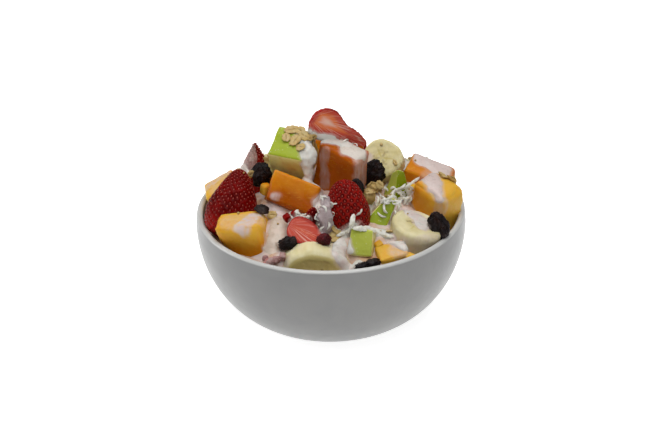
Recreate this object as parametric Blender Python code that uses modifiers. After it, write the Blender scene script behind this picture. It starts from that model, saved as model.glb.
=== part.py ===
"""Fruit salad with yogurt, heaped in a round white bowl.

The bowl is a turned shell on a low foot ring. A bed of yogurt-coated fruit
fills it up to a dome, and cut melon, apple, banana, strawberries and raisins
are pressed into the bed. Where two pieces press together, the later one gives
way, so that a thin gap is left all round every piece.

Sizes are in millimetres, angles in degrees; the object's origin is the middle
of the foot, on the surface that the bowl stands on.
"""

import math

import bmesh
import bpy
from mathutils import Euler, Matrix, Vector, noise

MM = 0.001

# Bowl
BOWL_RADIUS = 75.0
BOWL_HEIGHT = 65.5
BELLY_HEIGHT = 58.0  # where the wall is widest
FOOT_RADIUS = 28.0
FOOT_RING_WIDTH = 4.0
FOOT_RECESS = 1.2
FOOT_NARROWING = 0.4  # how much of an inset the wall takes up where it meets the foot
WALL_ROUNDNESS = 1.95  # 2 is an ellipse, less is straighter
RIM_THICKNESS = 3.6
FLOOR_THICKNESS = 6.0
LIP_TURN_IN = 0.5
AROUND_STEPS = 36
WALL_STEPS = 7
LIP_STEPS = 4

# Bed of fruit and yogurt under the pieces
BED_EDGE_HEIGHT = 55.0
BED_RISE = 21.0
BED_LUMP = 1.6
BED_LUMP_SIZE = 16.0
BED_RINGS = 5
BED_WALL_TOP = 52.0  # up to here the bed follows the wall
BED_EDGE_EASE = 0.6  # how far its edge keeps off the wall, over the gap
BED_SMOOTH_TO = 55.5  # below this it has no lumps
HOLLOW_AT = (-9.0, -61.0)  # where the front banana has sunk into the bed
HOLLOW_BOTTOM = 56.0
HOLLOW_REACH = (26.0, 17.0)

# Shapes of the fruit
NO_LEAN = {}
MELON_NARROWING = 0.08
APPLE_NARROWING = 0.10
BANANA_SIDES = 16
BANANA_CORNERS = 0.03  # how far its three soft corners stand out, as a share of its width
BERRY_RINGS = 8
BERRY_SIDES = 12
BERRY_BLUNTNESS = 0.8  # 1 is a ball, less is blunter at both ends
WAIST_AT = 0.12  # on a height of -1 to 1
WAIST_REACH = 0.38
RAISIN_LUMP = 0.25
OAT_LUMP = 0.45
LUMPS_ACROSS = 1.7

# Where pieces press together
GAP = 0.36  # left round every piece, with a little to spare for the facets
WELD = 0.02  # points nearer than this become one
TINY = 0.001
SHARP_ANGLE = 35.0


# ---------------------------------------------------------------- scene tools


def clear_scene():
    for old in list(bpy.data.objects):
        bpy.data.objects.remove(old, do_unlink=True)


def new_collection(name, hidden=False):
    made = bpy.data.collections.new(name)
    made.hide_render = hidden
    bpy.context.scene.collection.children.link(made)
    return made


def food_material(name, colour, roughness):
    made = bpy.data.materials.new(name)
    made.use_nodes = True
    shader = made.node_tree.nodes["Principled BSDF"]
    shader.inputs["Base Color"].default_value = (*colour, 1.0)
    shader.inputs["Roughness"].default_value = roughness
    shader.inputs["Metallic"].default_value = 0.0
    return made


def new_object(name, bm, material, collection):
    bmesh.ops.recalc_face_normals(bm, faces=bm.faces)
    mesh = bpy.data.meshes.new(name)
    bm.to_mesh(mesh)
    bm.free()
    mesh.materials.append(material)
    made = bpy.data.objects.new(name, mesh)
    collection.objects.link(made)
    return made


clear_scene()
SALAD = new_collection("fruit_salad")
CUTTERS = new_collection("cutters", hidden=True)
pieces = []


# ----------------------------------------------------------------------- bowl


def wall_outline(inset, lowest):
    """(radius, height) from the bottom edge up to the belly, moved in by inset."""
    foot = FOOT_RADIUS - inset * FOOT_NARROWING
    belly = BOWL_RADIUS - inset
    points = []
    for step in range(WALL_STEPS + 1):
        angle = math.pi / 2 * step / WALL_STEPS
        rise = 1 - math.cos(angle) ** (2 / WALL_ROUNDNESS)
        spread = math.sin(angle) ** (2 / WALL_ROUNDNESS)
        points.append((foot + (belly - foot) * spread, lowest + (BELLY_HEIGHT - lowest) * rise))
    return points


def lip_outline():
    """The rounded lip, from its inner side over the top to its outer side."""
    half = RIM_THICKNESS / 2
    middle = BOWL_RADIUS - LIP_TURN_IN - half
    centre_height = BOWL_HEIGHT - half
    points = []
    for step in range(LIP_STEPS + 1):
        angle = math.pi * (1 - step / LIP_STEPS)
        points.append((middle + half * math.cos(angle), centre_height + half * math.sin(angle)))
    return points


def make_bowl():
    inside = [(0.0, FLOOR_THICKNESS)] + wall_outline(RIM_THICKNESS, FLOOR_THICKNESS)
    outside = wall_outline(0.0, 0.0)[::-1]
    ring_inner = FOOT_RADIUS - FOOT_RING_WIDTH
    foot = [(ring_inner, 0.0), (ring_inner - FOOT_RECESS, FOOT_RECESS), (0.0, FOOT_RECESS)]
    outline = inside + lip_outline() + outside + foot
    mesh = bpy.data.meshes.new("bowl")
    points = [(radius * MM, 0.0, height * MM) for radius, height in outline]
    mesh.from_pydata(points, [(i, i + 1) for i in range(len(points) - 1)], [])
    mesh.materials.append(food_material("white_glaze", (0.80, 0.80, 0.79), 0.18))
    bowl = bpy.data.objects.new("bowl", mesh)
    SALAD.objects.link(bowl)
    screw = bowl.modifiers.new("Turn", "SCREW")
    screw.axis = "Z"
    screw.steps = AROUND_STEPS
    screw.render_steps = AROUND_STEPS
    screw.use_merge_vertices = True
    screw.merge_threshold = 0.0001
    screw.use_smooth_shade = True
    return bowl


# --------------------------------------------------------------- fruit shapes


def shaped_sphere(rings, segments, shape):
    """A round body whose points are moved by shape(unit point)."""
    bm = bmesh.new()
    bmesh.ops.create_uvsphere(bm, u_segments=segments, v_segments=rings, radius=1.0)
    for vert in bm.verts:
        vert.co = Vector(shape(vert.co)) * MM
    return bm


def lumpy_ball(size, lump, seed):
    """A small uneven body, such as a raisin or a cluster of oats."""
    bm = bmesh.new()
    bmesh.ops.create_icosphere(bm, subdivisions=2, radius=1.0)
    for vert in bm.verts:
        swell = 1 + lump * noise.noise(vert.co * LUMPS_ACROSS + Vector((seed, seed * 0.7, -seed)))
        vert.co = Vector([vert.co[i] * size[i] / 2 * swell for i in range(3)]) * MM
    return bm


def cut_block(size, narrowing, edge_round, leans):
    """A cut block, narrower towards its top, with soft edges. Leans moves single corners."""
    bm = bmesh.new()
    bmesh.ops.create_cube(bm, size=1.0)
    for vert in bm.verts:
        corner = tuple(1 if side > 0 else -1 for side in vert.co)
        keep = 1 - narrowing * (vert.co.z + 0.5)
        scale = Vector((size[0] * keep, size[1] * keep, size[2]))
        vert.co = (vert.co * scale + Vector(leans.get(corner, (0, 0, 0)))) * MM
    bmesh.ops.bevel(
        bm, geom=bm.edges[:], offset=edge_round * MM, segments=1, profile=0.5, affect="EDGES"
    )
    return bm


def place(piece, at, turn):
    piece.matrix_world = Matrix.LocRotScale(
        Vector(at) * MM, Euler([math.radians(angle) for angle in turn]), None
    )
    pieces.append(piece)
    return piece


MELON = food_material("melon_flesh", (0.80, 0.36, 0.06), 0.35)
APPLE = food_material("apple_flesh_and_skin", (0.50, 0.62, 0.10), 0.35)
BANANA = food_material("banana_flesh", (0.80, 0.74, 0.50), 0.50)
STRAWBERRY = food_material("strawberry_skin", (0.42, 0.02, 0.03), 0.30)
RAISIN = food_material("raisin_skin", (0.02, 0.012, 0.015), 0.45)
OATS = food_material("toasted_oats", (0.55, 0.38, 0.16), 0.70)
YOGURT = food_material("yogurt", (0.86, 0.78, 0.74), 0.35)


def melon(name, size, at, turn, edge_round=1.8, leans=NO_LEAN):
    body = new_object(name, cut_block(size, MELON_NARROWING, edge_round, leans), MELON, SALAD)
    return place(body, at, turn)


def apple(name, size, at, turn, edge_round=0.9, leans=NO_LEAN):
    body = new_object(name, cut_block(size, APPLE_NARROWING, edge_round, leans), APPLE, SALAD)
    return place(body, at, turn)


def banana(name, across, thickness, at, turn, edge_round=1.5):
    """A slice across the fruit: a short round body with three soft corners."""
    bm = bmesh.new()
    bmesh.ops.create_cone(
        bm, cap_ends=True, segments=BANANA_SIDES, radius1=0.5, radius2=0.5, depth=thickness * MM
    )
    for vert in bm.verts:
        angle = math.atan2(vert.co.y, vert.co.x)
        corner = 1 + BANANA_CORNERS * math.cos(3 * angle)
        vert.co.x *= across[0] * corner * MM
        vert.co.y *= across[1] * corner * MM
    rims = [edge for edge in bm.edges if abs(edge.verts[0].co.z - edge.verts[1].co.z) < TINY * MM]
    bmesh.ops.bevel(bm, geom=rims, offset=edge_round * MM, segments=1, profile=0.5, affect="EDGES")
    return place(new_object(name, bm, BANANA, SALAD), at, turn)


def strawberry_form(width, depth, length, shoulder, waist):
    """A cone with round shoulders; its tip is at the top (+Z) of its own frame.

    Waist is how far it is drawn in above the middle, as a share of its girth there.
    """

    def shape(point):
        height = point.z
        girth = math.sqrt(max(0.0, 1 - height * height))
        drawn_in = waist * math.exp(-(((height - WAIST_AT) / WAIST_REACH) ** 2))
        taper = (1 - shoulder * (height + 1) / 2) * (1 - drawn_in)
        blunt = taper * max(girth, TINY) ** (BERRY_BLUNTNESS - 1)
        return point.x * blunt * width / 2, point.y * blunt * depth / 2, height * length / 2

    return shaped_sphere(BERRY_RINGS, BERRY_SIDES, shape)


def strawberry(name, width, depth, length, at, turn, shoulder=0.42, waist=0.0):
    form = strawberry_form(width, depth, length, shoulder, waist)
    return place(new_object(name, form, STRAWBERRY, SALAD), at, turn)


def strawberry_half(name, width, depth, length, at, turn, shoulder=0.42, waist=0.0):
    """Cut lengthwise: the flat cut faces -Y in its own frame."""
    bm = strawberry_form(width, depth * 2, length, shoulder, waist)
    everything = bm.verts[:] + bm.edges[:] + bm.faces[:]
    bmesh.ops.bisect_plane(
        bm, geom=everything, plane_co=(0, 0, 0), plane_no=(0, -1, 0), clear_outer=True
    )
    bmesh.ops.holes_fill(bm, edges=[edge for edge in bm.edges if edge.is_boundary])
    bmesh.ops.triangulate(bm, faces=[face for face in bm.faces if len(face.verts) > 4])
    for vert in bm.verts:
        vert.co.y -= depth / 2 * MM
    return place(new_object(name, bm, STRAWBERRY, SALAD), at, turn)


def raisin(name, size, at, turn, seed):
    return place(new_object(name, lumpy_ball(size, RAISIN_LUMP, seed), RAISIN, SALAD), at, turn)


def oat_cluster(name, size, at, turn, seed):
    return place(new_object(name, lumpy_ball(size, OAT_LUMP, seed), OATS, SALAD), at, turn)


# ------------------------------------------------- pieces, crown of the heap

bowl = make_bowl()

melon(
    "melon_crown",
    (27, 14, 29),
    at=(6.5, 1, 87.5),
    turn=(0, 9, -35),
    leans={(1, -1, 1): (0, 0, -3)},
)
apple("apple_crown", (22, 21, 22), at=(-20, 8, 94), turn=(30, 4, -20))
strawberry_half(
    "strawberry_crown", 27.5, 10, 36, at=(4.9, 12, 108.2), turn=(-12, 124, 0), shoulder=0.75, waist=0.33
)
melon(
    "melon_mid_left",
    (30, 15, 19),
    at=(-21, -14, 79.5),
    turn=(-35, 17, -18),
    leans={(1, -1, -1): (0, 0, 3), (-1, -1, -1): (4, 0, 2)},
)

# ---------------------------------------------------------- pieces, left side

strawberry("strawberry_left", 38, 30, 39, at=(-53, -13, 75), turn=(-24, 14, 0), shoulder=0.6)
melon(
    "melon_front_left",
    (28, 21, 24),
    at=(-48, -32, 63.5),
    turn=(2, -6, -8),
    edge_round=2.4,
    leans={
        (-1, -1, -1): (7, 6, 0),
        (1, -1, -1): (4, -9, -3),
        (1, 1, -1): (2, 0, 0),
        (-1, 1, -1): (5, 0, 0),
    },
)
melon("melon_left_rim", (20, 20, 18), at=(-58, 9, 69), turn=(0, -28, 8))
strawberry("strawberry_tip_back", 31, 15, 30, at=(-42, 18, 81), turn=(-8, 4, 20), shoulder=0.85)
raisin("raisin_left", (11, 10, 14), at=(-38, 0, 85.5), turn=(0, 8, 30), seed=1)
raisin("raisin_left_low", (8, 6, 5), at=(-37, -27, 78.5), turn=(10, 15, 0), seed=2)
melon("melon_bit_left", (5, 5, 6), at=(-35, -8, 81), turn=(0, 10, 30), edge_round=1.0)

# --------------------------------------------------- pieces, middle and front

strawberry("strawberry_centre", 27.5, 23, 33, at=(8.8, -28, 78), turn=(-8, -8, 0), shoulder=0.3)
strawberry_half("strawberry_cut", 17, 9, 19, at=(-14, -42, 71.2), turn=(-121, 44, -131))
strawberry("strawberry_between", 9, 8, 12, at=(-10, -32, 76), turn=(10, 10, 0))
banana("banana_front", (39, 33), 18, at=(-9, -51, 53.5), turn=(93, 0, 2))
raisin("raisin_front_left", (12, 8, 7), at=(-23, -48, 69), turn=(0, -12, 10), seed=3)
raisin("cranberry_front", (8, 7, 7), at=(-4, -49, 70), turn=(0, 20, 0), seed=4)
raisin("raisin_centre", (6, 6, 9), at=(15, -20, 87.5), turn=(0, -25, 0), seed=5)
strawberry("strawberry_rim_bit", 6, 6, 11, at=(-31, -58, 64), turn=(0, 80, 20))
apple("apple_front", (13, 12, 14), at=(16.4, -46.5, 67.2), turn=(-30, 0, -14))
melon("melon_front", (17, 12, 11), at=(32, -51, 61), turn=(20, -8, 14), edge_round=1.2)
raisin("raisin_front_a", (8, 6, 5), at=(15, -63, 62), turn=(0, -15, 10), seed=6)
raisin("raisin_front_b", (9, 6, 5), at=(21.5, -61, 63), turn=(0, 5, 25), seed=7)

# --------------------------------------------------------- pieces, right side

banana("banana_right", (28, 26), 18, at=(44, -35, 64), turn=(6, 14, 0))
melon("melon_right", (24, 21, 29), at=(58, -7, 68), turn=(4, 12, -44), edge_round=2.4)
melon("melon_right_back", (28, 18, 18), at=(55, 18, 71), turn=(12, 14, -22))
banana("banana_back", (23, 23), 12, at=(30, 16, 84.5), turn=(46, 0, -14))
apple(
    "apple_right",
    (10.5, 9.5, 17),
    at=(37, 0.5, 79),
    turn=(0, 4, 42),
    leans={
        (-1, -1, 1): (2.5, 1.5, 0),
        (1, -1, 1): (-3.5, 2, -3),
        (-1, 1, 1): (3, -3, -4),
        (1, 1, 1): (-3, -3, -4),
    },
)
apple(
    "apple_centre_right",
    (12, 11, 18),
    at=(27.2, -22.3, 73),
    turn=(-35, 22, -14),
    leans={(-1, -1, 1): (5, 0, -1), (-1, 1, 1): (4, 0, -1)},
)
raisin("raisin_big", (14, 10, 16), at=(24, 4, 83), turn=(0, 10, 20), seed=8)
raisin("raisin_right", (12, 10, 17), at=(57, -37, 70), turn=(0, -18, 0), seed=9)
oat_cluster("oats_centre", (9, 8, 11), at=(20, -19, 80), turn=(0, 0, 0), seed=10)
oat_cluster("oats_upper", (9, 7, 7), at=(24, -10, 81), turn=(0, 0, 30), seed=11)
oat_cluster("oats_right", (10, 7, 6), at=(65, 5, 77), turn=(0, 20, 0), seed=12)

# --------------------------------------------------------- pieces, far side

melon("melon_back", (25, 21, 22), at=(-15, 33, 79), turn=(-22, 6, 30))
melon("melon_back_high", (19, 15, 16), at=(9, 24, 86), turn=(-18, 4, 24))
melon("melon_back_rim", (23, 20, 20), at=(6, 58, 63), turn=(-20, 4, -14))
melon("melon_left_back", (17, 16, 15), at=(-55, 32, 63), turn=(-12, -16, -20))
strawberry("strawberry_back", 25, 23, 31, at=(13, 38, 73), turn=(-38, 20, 0))
strawberry("strawberry_back_right", 21, 20, 26, at=(48, 33, 66), turn=(-50, 40, 0))
strawberry_half("strawberry_back_rim", 23, 11, 26, at=(-22, 56, 66), turn=(-68, 0, 20))
apple("apple_back_left", (19, 16, 17), at=(-36, 44, 64), turn=(-20, -24, 34))
apple("apple_back_right", (14, 13, 14), at=(54, 39, 66), turn=(-14, 22, 12))
banana("banana_back_rim", (30, 28), 13, at=(34, 46, 66), turn=(-34, 22, 0))
banana("banana_back_left", (24, 23), 11, at=(-32, 27, 77), turn=(-40, -14, 0))
raisin("raisin_back_left", (12, 9, 9), at=(-31, 33, 76), turn=(0, -20, 40), seed=13)
raisin("raisin_back_rim", (12, 9, 8), at=(26, 60, 66), turn=(0, 20, -30), seed=14)
raisin("raisin_back", (10, 8, 8), at=(-4, 46, 75), turn=(-30, 0, 10), seed=15)
raisin("raisin_back_right", (11, 9, 8), at=(30, 31, 77), turn=(0, 24, 50), seed=16)

# --------------------------------------------------------- bed under the fruit


def make_bed():
    """Fills the bowl a gap short of its wall, and rises to a lumpy dome, but for one hollow."""
    inside = wall_outline(RIM_THICKNESS + GAP, FLOOR_THICKNESS + GAP)
    lower = [point for point in inside if point[1] < BED_WALL_TOP]
    edge = BOWL_RADIUS - RIM_THICKNESS - GAP - BED_EDGE_EASE
    upper = []
    for ring in range(BED_RINGS):
        radius = edge * (1 - ring / BED_RINGS)
        upper.append((radius, BED_EDGE_HEIGHT + BED_RISE * (1 - (radius / edge) ** 2)))
    outline = lower + upper
    bm = bmesh.new()
    rings = []
    for radius, height in outline:
        ring = []
        for step in range(AROUND_STEPS):
            angle = math.tau * step / AROUND_STEPS
            point = Vector((radius * math.cos(angle), radius * math.sin(angle), height))
            ring.append(bm.verts.new(point * MM))
        rings.append(ring)
    for low, high in zip(rings, rings[1:]):
        for step in range(AROUND_STEPS):
            after = (step + 1) % AROUND_STEPS
            bm.faces.new((low[step], low[after], high[after], high[step]))
    floor = bm.verts.new((0, 0, (FLOOR_THICKNESS + GAP) * MM))
    crown = bm.verts.new((0, 0, (BED_EDGE_HEIGHT + BED_RISE) * MM))
    for step in range(AROUND_STEPS):
        after = (step + 1) % AROUND_STEPS
        bm.faces.new((floor, rings[0][after], rings[0][step]))
        bm.faces.new((crown, rings[-1][step], rings[-1][after]))
    for vert in bm.verts:
        if vert.co.z > BED_SMOOTH_TO * MM:
            vert.co.z += BED_LUMP * MM * noise.noise(vert.co / (BED_LUMP_SIZE * MM))
            across, back = vert.co.to_2d() / MM - Vector(HOLLOW_AT)
            away = math.hypot(across / HOLLOW_REACH[0], back / HOLLOW_REACH[1])
            excess = max(0.0, vert.co.z - HOLLOW_BOTTOM * MM)
            vert.co.z -= excess * (1 - min(1.0, away) ** 3)
    return new_object("yogurt_and_fruit_bed", bm, YOGURT, SALAD)


# ------------------------------------------------------- pressing them together


def grown_copy(source, name):
    """The same body, a gap larger all round, as a cutter."""
    graph = bpy.context.evaluated_depsgraph_get()
    mesh = bpy.data.meshes.new_from_object(source.evaluated_get(graph), depsgraph=graph)
    bm = bmesh.new()
    bm.from_mesh(mesh)
    bmesh.ops.remove_doubles(bm, verts=bm.verts, dist=TINY * MM)
    bmesh.ops.recalc_face_normals(bm, faces=bm.faces)
    bm.normal_update()
    moves = [vert.normal * vert.calc_shell_factor() * GAP * MM for vert in bm.verts]
    for vert, move in zip(bm.verts, moves):
        vert.co += move
    bm.to_mesh(mesh)
    bm.free()
    cutter = bpy.data.objects.new(name, mesh)
    cutter.matrix_world = source.matrix_world
    cutter.hide_render = True
    cutter.display_type = "WIRE"
    CUTTERS.objects.link(cutter)
    return cutter


def reach(body):
    corners = [body.matrix_world @ Vector(corner) for corner in body.bound_box]
    low = [min(corner[i] for corner in corners) for i in range(3)]
    high = [max(corner[i] for corner in corners) for i in range(3)]
    return low, high


def may_touch(one, other):
    low, high = reach(one)
    other_low, other_high = reach(other)
    return all(low[i] < other_high[i] and other_low[i] < high[i] for i in range(3))


def keep_largest_body(bm):
    """A cut can leave crumbs behind: only the biggest joined-up part stays."""
    unseen = set(bm.verts)
    bodies = []
    while unseen:
        body = [unseen.pop()]
        for vert in body:
            for edge in vert.link_edges:
                other = edge.other_vert(vert)
                if other in unseen:
                    unseen.remove(other)
                    body.append(other)
        bodies.append(body)
    bodies.sort(key=len, reverse=True)
    for body in bodies[1:]:
        bmesh.ops.delete(bm, geom=body, context="VERTS")


def press(body, cutters):
    """Cuts body back to clear each cutter that reaches it, and keeps one closed body."""
    used = [cutter for cutter in cutters if may_touch(body, cutter)]
    for cutter in used:
        cut = body.modifiers.new("Clear_" + cutter.name, "BOOLEAN")
        cut.operation = "DIFFERENCE"
        cut.solver = "EXACT"
        cut.object = cutter
    graph = bpy.context.evaluated_depsgraph_get()
    mesh = bpy.data.meshes.new_from_object(body.evaluated_get(graph), depsgraph=graph)
    body.modifiers.clear()
    bm = bmesh.new()
    bm.from_mesh(mesh)
    bmesh.ops.remove_doubles(bm, verts=bm.verts, dist=WELD * MM)
    bmesh.ops.dissolve_degenerate(bm, edges=bm.edges, dist=WELD * MM)
    keep_largest_body(bm)
    bmesh.ops.triangulate(bm, faces=bm.faces)
    bm.to_mesh(mesh)
    bm.free()
    body.data = mesh
    body.data.shade_smooth()
    body.data.set_sharp_from_angle(angle=math.radians(SHARP_ANGLE))


bpy.context.view_layer.update()
bed = make_bed()
wall_cutter = grown_copy(bowl, "clear_of_bowl")
piece_cutters = [grown_copy(piece, "clear_of_" + piece.name) for piece in pieces]
bpy.context.view_layer.update()
for number, piece in enumerate(pieces):
    press(piece, [wall_cutter] + piece_cutters[:number])
press(bed, piece_cutters)
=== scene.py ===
"""A fruit salad with yogurt in a white bowl: the finish of every piece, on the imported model.

Melon, apple, banana, strawberries and raisins are heaped in a turned bowl. Pink yogurt is poured
over them, and toasted oats and shreds of coconut are scattered on top.
"""

import math
import random

import bmesh
import bpy
import numpy as np
from mathutils import Euler, Matrix, Vector, noise
from mathutils.bvhtree import BVHTree
from mathutils.kdtree import KDTree


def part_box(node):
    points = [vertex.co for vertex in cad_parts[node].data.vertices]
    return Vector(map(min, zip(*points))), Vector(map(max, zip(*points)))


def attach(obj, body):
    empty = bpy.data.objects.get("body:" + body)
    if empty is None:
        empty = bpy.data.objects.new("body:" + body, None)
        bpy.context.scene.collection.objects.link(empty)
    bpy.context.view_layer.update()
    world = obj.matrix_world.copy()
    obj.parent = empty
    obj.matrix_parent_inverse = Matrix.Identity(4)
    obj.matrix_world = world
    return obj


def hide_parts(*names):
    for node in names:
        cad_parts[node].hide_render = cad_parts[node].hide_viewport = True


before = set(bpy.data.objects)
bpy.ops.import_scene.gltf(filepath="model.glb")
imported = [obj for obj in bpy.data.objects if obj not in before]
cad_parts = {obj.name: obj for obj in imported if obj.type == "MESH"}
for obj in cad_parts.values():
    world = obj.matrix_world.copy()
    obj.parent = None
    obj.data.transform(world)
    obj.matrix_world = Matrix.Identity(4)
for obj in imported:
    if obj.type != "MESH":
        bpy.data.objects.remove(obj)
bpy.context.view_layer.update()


# ------------------------------------------------------------------------------ the bowl
# A round bowl of white stoneware, turned on a wheel, with a rounded lip. It is dipped in a clear
# satin glaze, all but the narrow foot ring that it stands on, which stays bare and matt.

MM = 0.001

bowl_low, bowl_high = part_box("bowl")
BOWL_RADIUS = (bowl_high.x - bowl_low.x) / 2 / MM
BOWL_HEIGHT = bowl_high.z / MM
BELLY_HEIGHT = 58.0
FOOT_RADIUS = 28.0
FOOT_RING_WIDTH = 4.0
FOOT_RECESS = 1.2
FOOT_ROUND = 0.8
FOOT_NARROWING = 0.4
WALL_ROUNDNESS = 1.95
WALL_THICKNESS = 3.6
FLOOR_THICKNESS = 6.0
LIP_TURN_IN = 0.5
TURNS = 192

# Surfaces that turn up, on the lip and inside, get a lighter glaze as painted light from above, and the
# rest a darker glaze as painted shade; the recess under the foot doesn't count
TOP_LIGHT_SHARPNESS = 3
TOP_LIGHT_FROM = 0.7
TOP_LIGHT_ABOVE = 8.0


def wall_outline(inset, lowest, steps=44):
    """(radius, height) from the foot up to the belly, the wall moved in by inset."""
    foot = FOOT_RADIUS - inset * FOOT_NARROWING
    belly = BOWL_RADIUS - inset
    points = []
    for step in range(steps + 1):
        angle = math.pi / 2 * step / steps
        rise = 1 - math.cos(angle) ** (2 / WALL_ROUNDNESS)
        spread = math.sin(angle) ** (2 / WALL_ROUNDNESS)
        points.append((foot + (belly - foot) * spread, lowest + (BELLY_HEIGHT - lowest) * rise))
    return points


def arc(middle, radius, start, end, steps=10):
    """(radius, height) along an arc round middle, in degrees."""
    turns = [math.radians(start + (end - start) * step / steps) for step in range(steps + 1)]
    return [(middle[0] + radius * math.cos(turn), middle[1] + radius * math.sin(turn)) for turn in turns]


def bowl_outline():
    """(radius, height) up the inside, over the lip, down the outside, and under the foot."""
    half = WALL_THICKNESS / 2
    lip = (BOWL_RADIUS - LIP_TURN_IN - half, BOWL_HEIGHT - half)
    ring_inner = FOOT_RADIUS - FOOT_RING_WIDTH
    inside = [(0.0, FLOOR_THICKNESS)] + wall_outline(WALL_THICKNESS, FLOOR_THICKNESS)
    outside = wall_outline(0.0, FOOT_ROUND)[::-1]
    foot = arc((FOOT_RADIUS - FOOT_ROUND, FOOT_ROUND), FOOT_ROUND, -15, -90, 5)
    foot += arc((ring_inner + FOOT_ROUND, FOOT_ROUND), FOOT_ROUND, -90, -150, 4)
    recess = [(ring_inner - FOOT_RECESS, FOOT_RECESS), (0.0, FOOT_RECESS)]
    return inside + arc(lip, half, 180, 0, 16) + outside + foot + recess


def shaded(mesh, angle=60):
    mesh.shade_smooth()
    mesh.set_sharp_from_angle(angle=math.radians(angle))
    return mesh


def paint(mesh, name, values):
    """Keeps one number for each vertex, for the material to read."""
    layer = mesh.attributes.new(name, "FLOAT", "POINT")
    layer.data.foreach_set("value", np.asarray(values, np.float32))


def points_of(mesh):
    points = np.empty(len(mesh.vertices) * 3, np.float32)
    mesh.vertices.foreach_get("co", points)
    return points.reshape(-1, 3).astype(float)


def new_object(name, data):
    made = bpy.data.objects.new(name, data)
    bpy.context.scene.collection.objects.link(made)
    return made


def mesh_piece(name, points, faces, angle):
    """A piece from points in metres, its edges sharp where they turn by more than angle."""
    mesh = bpy.data.meshes.new(name)
    mesh.from_pydata(np.asarray(points).tolist(), [], faces)
    return new_object(name, shaded(mesh, angle))


def new_piece(name, bm, angle=60):
    bmesh.ops.recalc_face_normals(bm, faces=bm.faces)
    mesh = bpy.data.meshes.new(name)
    bm.to_mesh(mesh)
    bm.free()
    return new_object(name, shaded(mesh, angle))


def applied(piece):
    """The piece with its modifiers made part of its mesh."""
    graph = bpy.context.evaluated_depsgraph_get()
    mesh = bpy.data.meshes.new_from_object(piece.evaluated_get(graph), depsgraph=graph)
    piece.modifiers.clear()
    piece.data = mesh
    return piece


def turned_piece(name, outline):
    """A solid turned round Z from an outline that runs from the axis back to the axis."""
    mesh = bpy.data.meshes.new(name)
    points = [(radius * MM, 0.0, height * MM) for radius, height in outline]
    mesh.from_pydata(points, [(i, i + 1) for i in range(len(points) - 1)], [])
    piece = new_object(name, mesh)
    screw = piece.modifiers.new("Turn", "SCREW")
    screw.steps = TURNS
    screw.render_steps = TURNS
    screw.use_merge_vertices = True
    screw.merge_threshold = 0.00001
    return applied(piece)


def node(tree, kind, inputs=None, **settings):
    """Adds a shader node; an input is either a value or another node's output."""
    made = tree.nodes.new(kind)
    for name, value in settings.items():
        setattr(made, name, value)
    for name, value in (inputs or {}).items():
        socket = made.inputs[name]
        if isinstance(value, bpy.types.NodeSocket):
            tree.links.new(value, socket)
        else:
            socket.default_value = value
    return made


def maths(tree, operation, *values):
    return node(tree, "ShaderNodeMath", dict(enumerate(values)), operation=operation).outputs[0]


def mix(tree, amount, low, high):
    return node(tree, "ShaderNodeMix", {0: amount, 6: low, 7: high}, data_type="RGBA").outputs[2]


def spread(tree, value, low, high, to_low=0.0, to_high=1.0):
    """Value from low to high becomes to_low to to_high, with soft ends."""
    inputs = {0: value, 1: low, 2: high, 3: to_low, 4: to_high}
    return node(tree, "ShaderNodeMapRange", inputs, interpolation_type="SMOOTHSTEP").outputs[0]


def mottle(tree, scale, detail=3.0, roughness=0.55, stretch=(1.0, 1.0, 1.0), where=None):
    """Cloudy noise over the piece, in features of about 1 / scale metres."""
    place = where or node(tree, "ShaderNodeTexCoord").outputs["Object"]
    stretched = node(tree, "ShaderNodeMapping", {"Vector": place, "Scale": stretch}).outputs[0]
    inputs = {"Vector": stretched, "Scale": scale, "Detail": detail, "Roughness": roughness}
    return node(tree, "ShaderNodeTexNoise", inputs).outputs["Fac"]


def painted(tree, name):
    return node(tree, "ShaderNodeAttribute", attribute_name=name).outputs["Fac"]


def bump(tree, height, distance, strength=1.0):
    inputs = {"Height": height, "Distance": distance, "Strength": strength}
    return node(tree, "ShaderNodeBump", inputs).outputs[0]


def new_material(name, **constants):
    """A material, its node tree and its shader, with the finishes that are even all over."""
    material = bpy.data.materials.new(name)
    material.use_nodes = True
    tree = material.node_tree
    shader = tree.nodes["Principled BSDF"]
    for socket, value in constants.items():
        shader.inputs[socket.replace("_", " ")].default_value = value
    return material, tree, shader


def translucent(name, gloss, share, tint, depth):
    """A material that lets a share of the light in, in its tint, to a depth in millimetres."""
    inner = dict(Subsurface_Weight=share, Subsurface_Radius=tint, Subsurface_Scale=depth * MM)
    return new_material(name, Specular_IOR_Level=gloss, **inner)


def feed(shader, **outputs):
    """Joins colours and values to the sockets of a shader."""
    for socket, output in outputs.items():
        shader.id_data.links.new(output, shader.inputs[socket.replace("_", " ")])


# The glaze comes in a shaded and a lit copy: the wall takes the dark one as painted shade, surfaces that face
# up the light one as painted light
GLAZE_IN_PAINTED_SHADE = (0.265, 0.265, 0.262, 1.0)
GLAZE_POOLED_IN_PAINTED_SHADE = (0.245, 0.247, 0.247, 1.0)
GLAZE_PAINTED_TOP_LIGHT = (0.58, 0.58, 0.565, 1.0)
BARE_CLAY = (0.42, 0.40, 0.37, 1.0)

bowl = turned_piece("bowl_glazed", bowl_outline())
shaded(bowl.data, 50)
bowl_points = points_of(bowl.data)
ring_height = bowl_points[:, 2] / (FOOT_RECESS * MM)
in_ring = np.hypot(bowl_points[:, 0], bowl_points[:, 1]) > (FOOT_RADIUS - FOOT_RING_WIDTH - 1) * MM
paint(bowl.data, "bare_foot", np.where(in_ring, np.clip(1.4 - ring_height, 0, 1), 0))
facing = np.empty(len(bowl_points) * 3, np.float32)
bowl.data.vertex_normals.foreach_get("vector", facing)
# painted light: the more a surface above the foot faces up, the more of the lit glaze it gets
painted_top_light = np.clip(facing[2::3] * TOP_LIGHT_SHARPNESS - TOP_LIGHT_FROM, 0, 1)
paint(bowl.data, "lip", painted_top_light * (bowl_points[:, 2] > TOP_LIGHT_ABOVE * MM))

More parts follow.
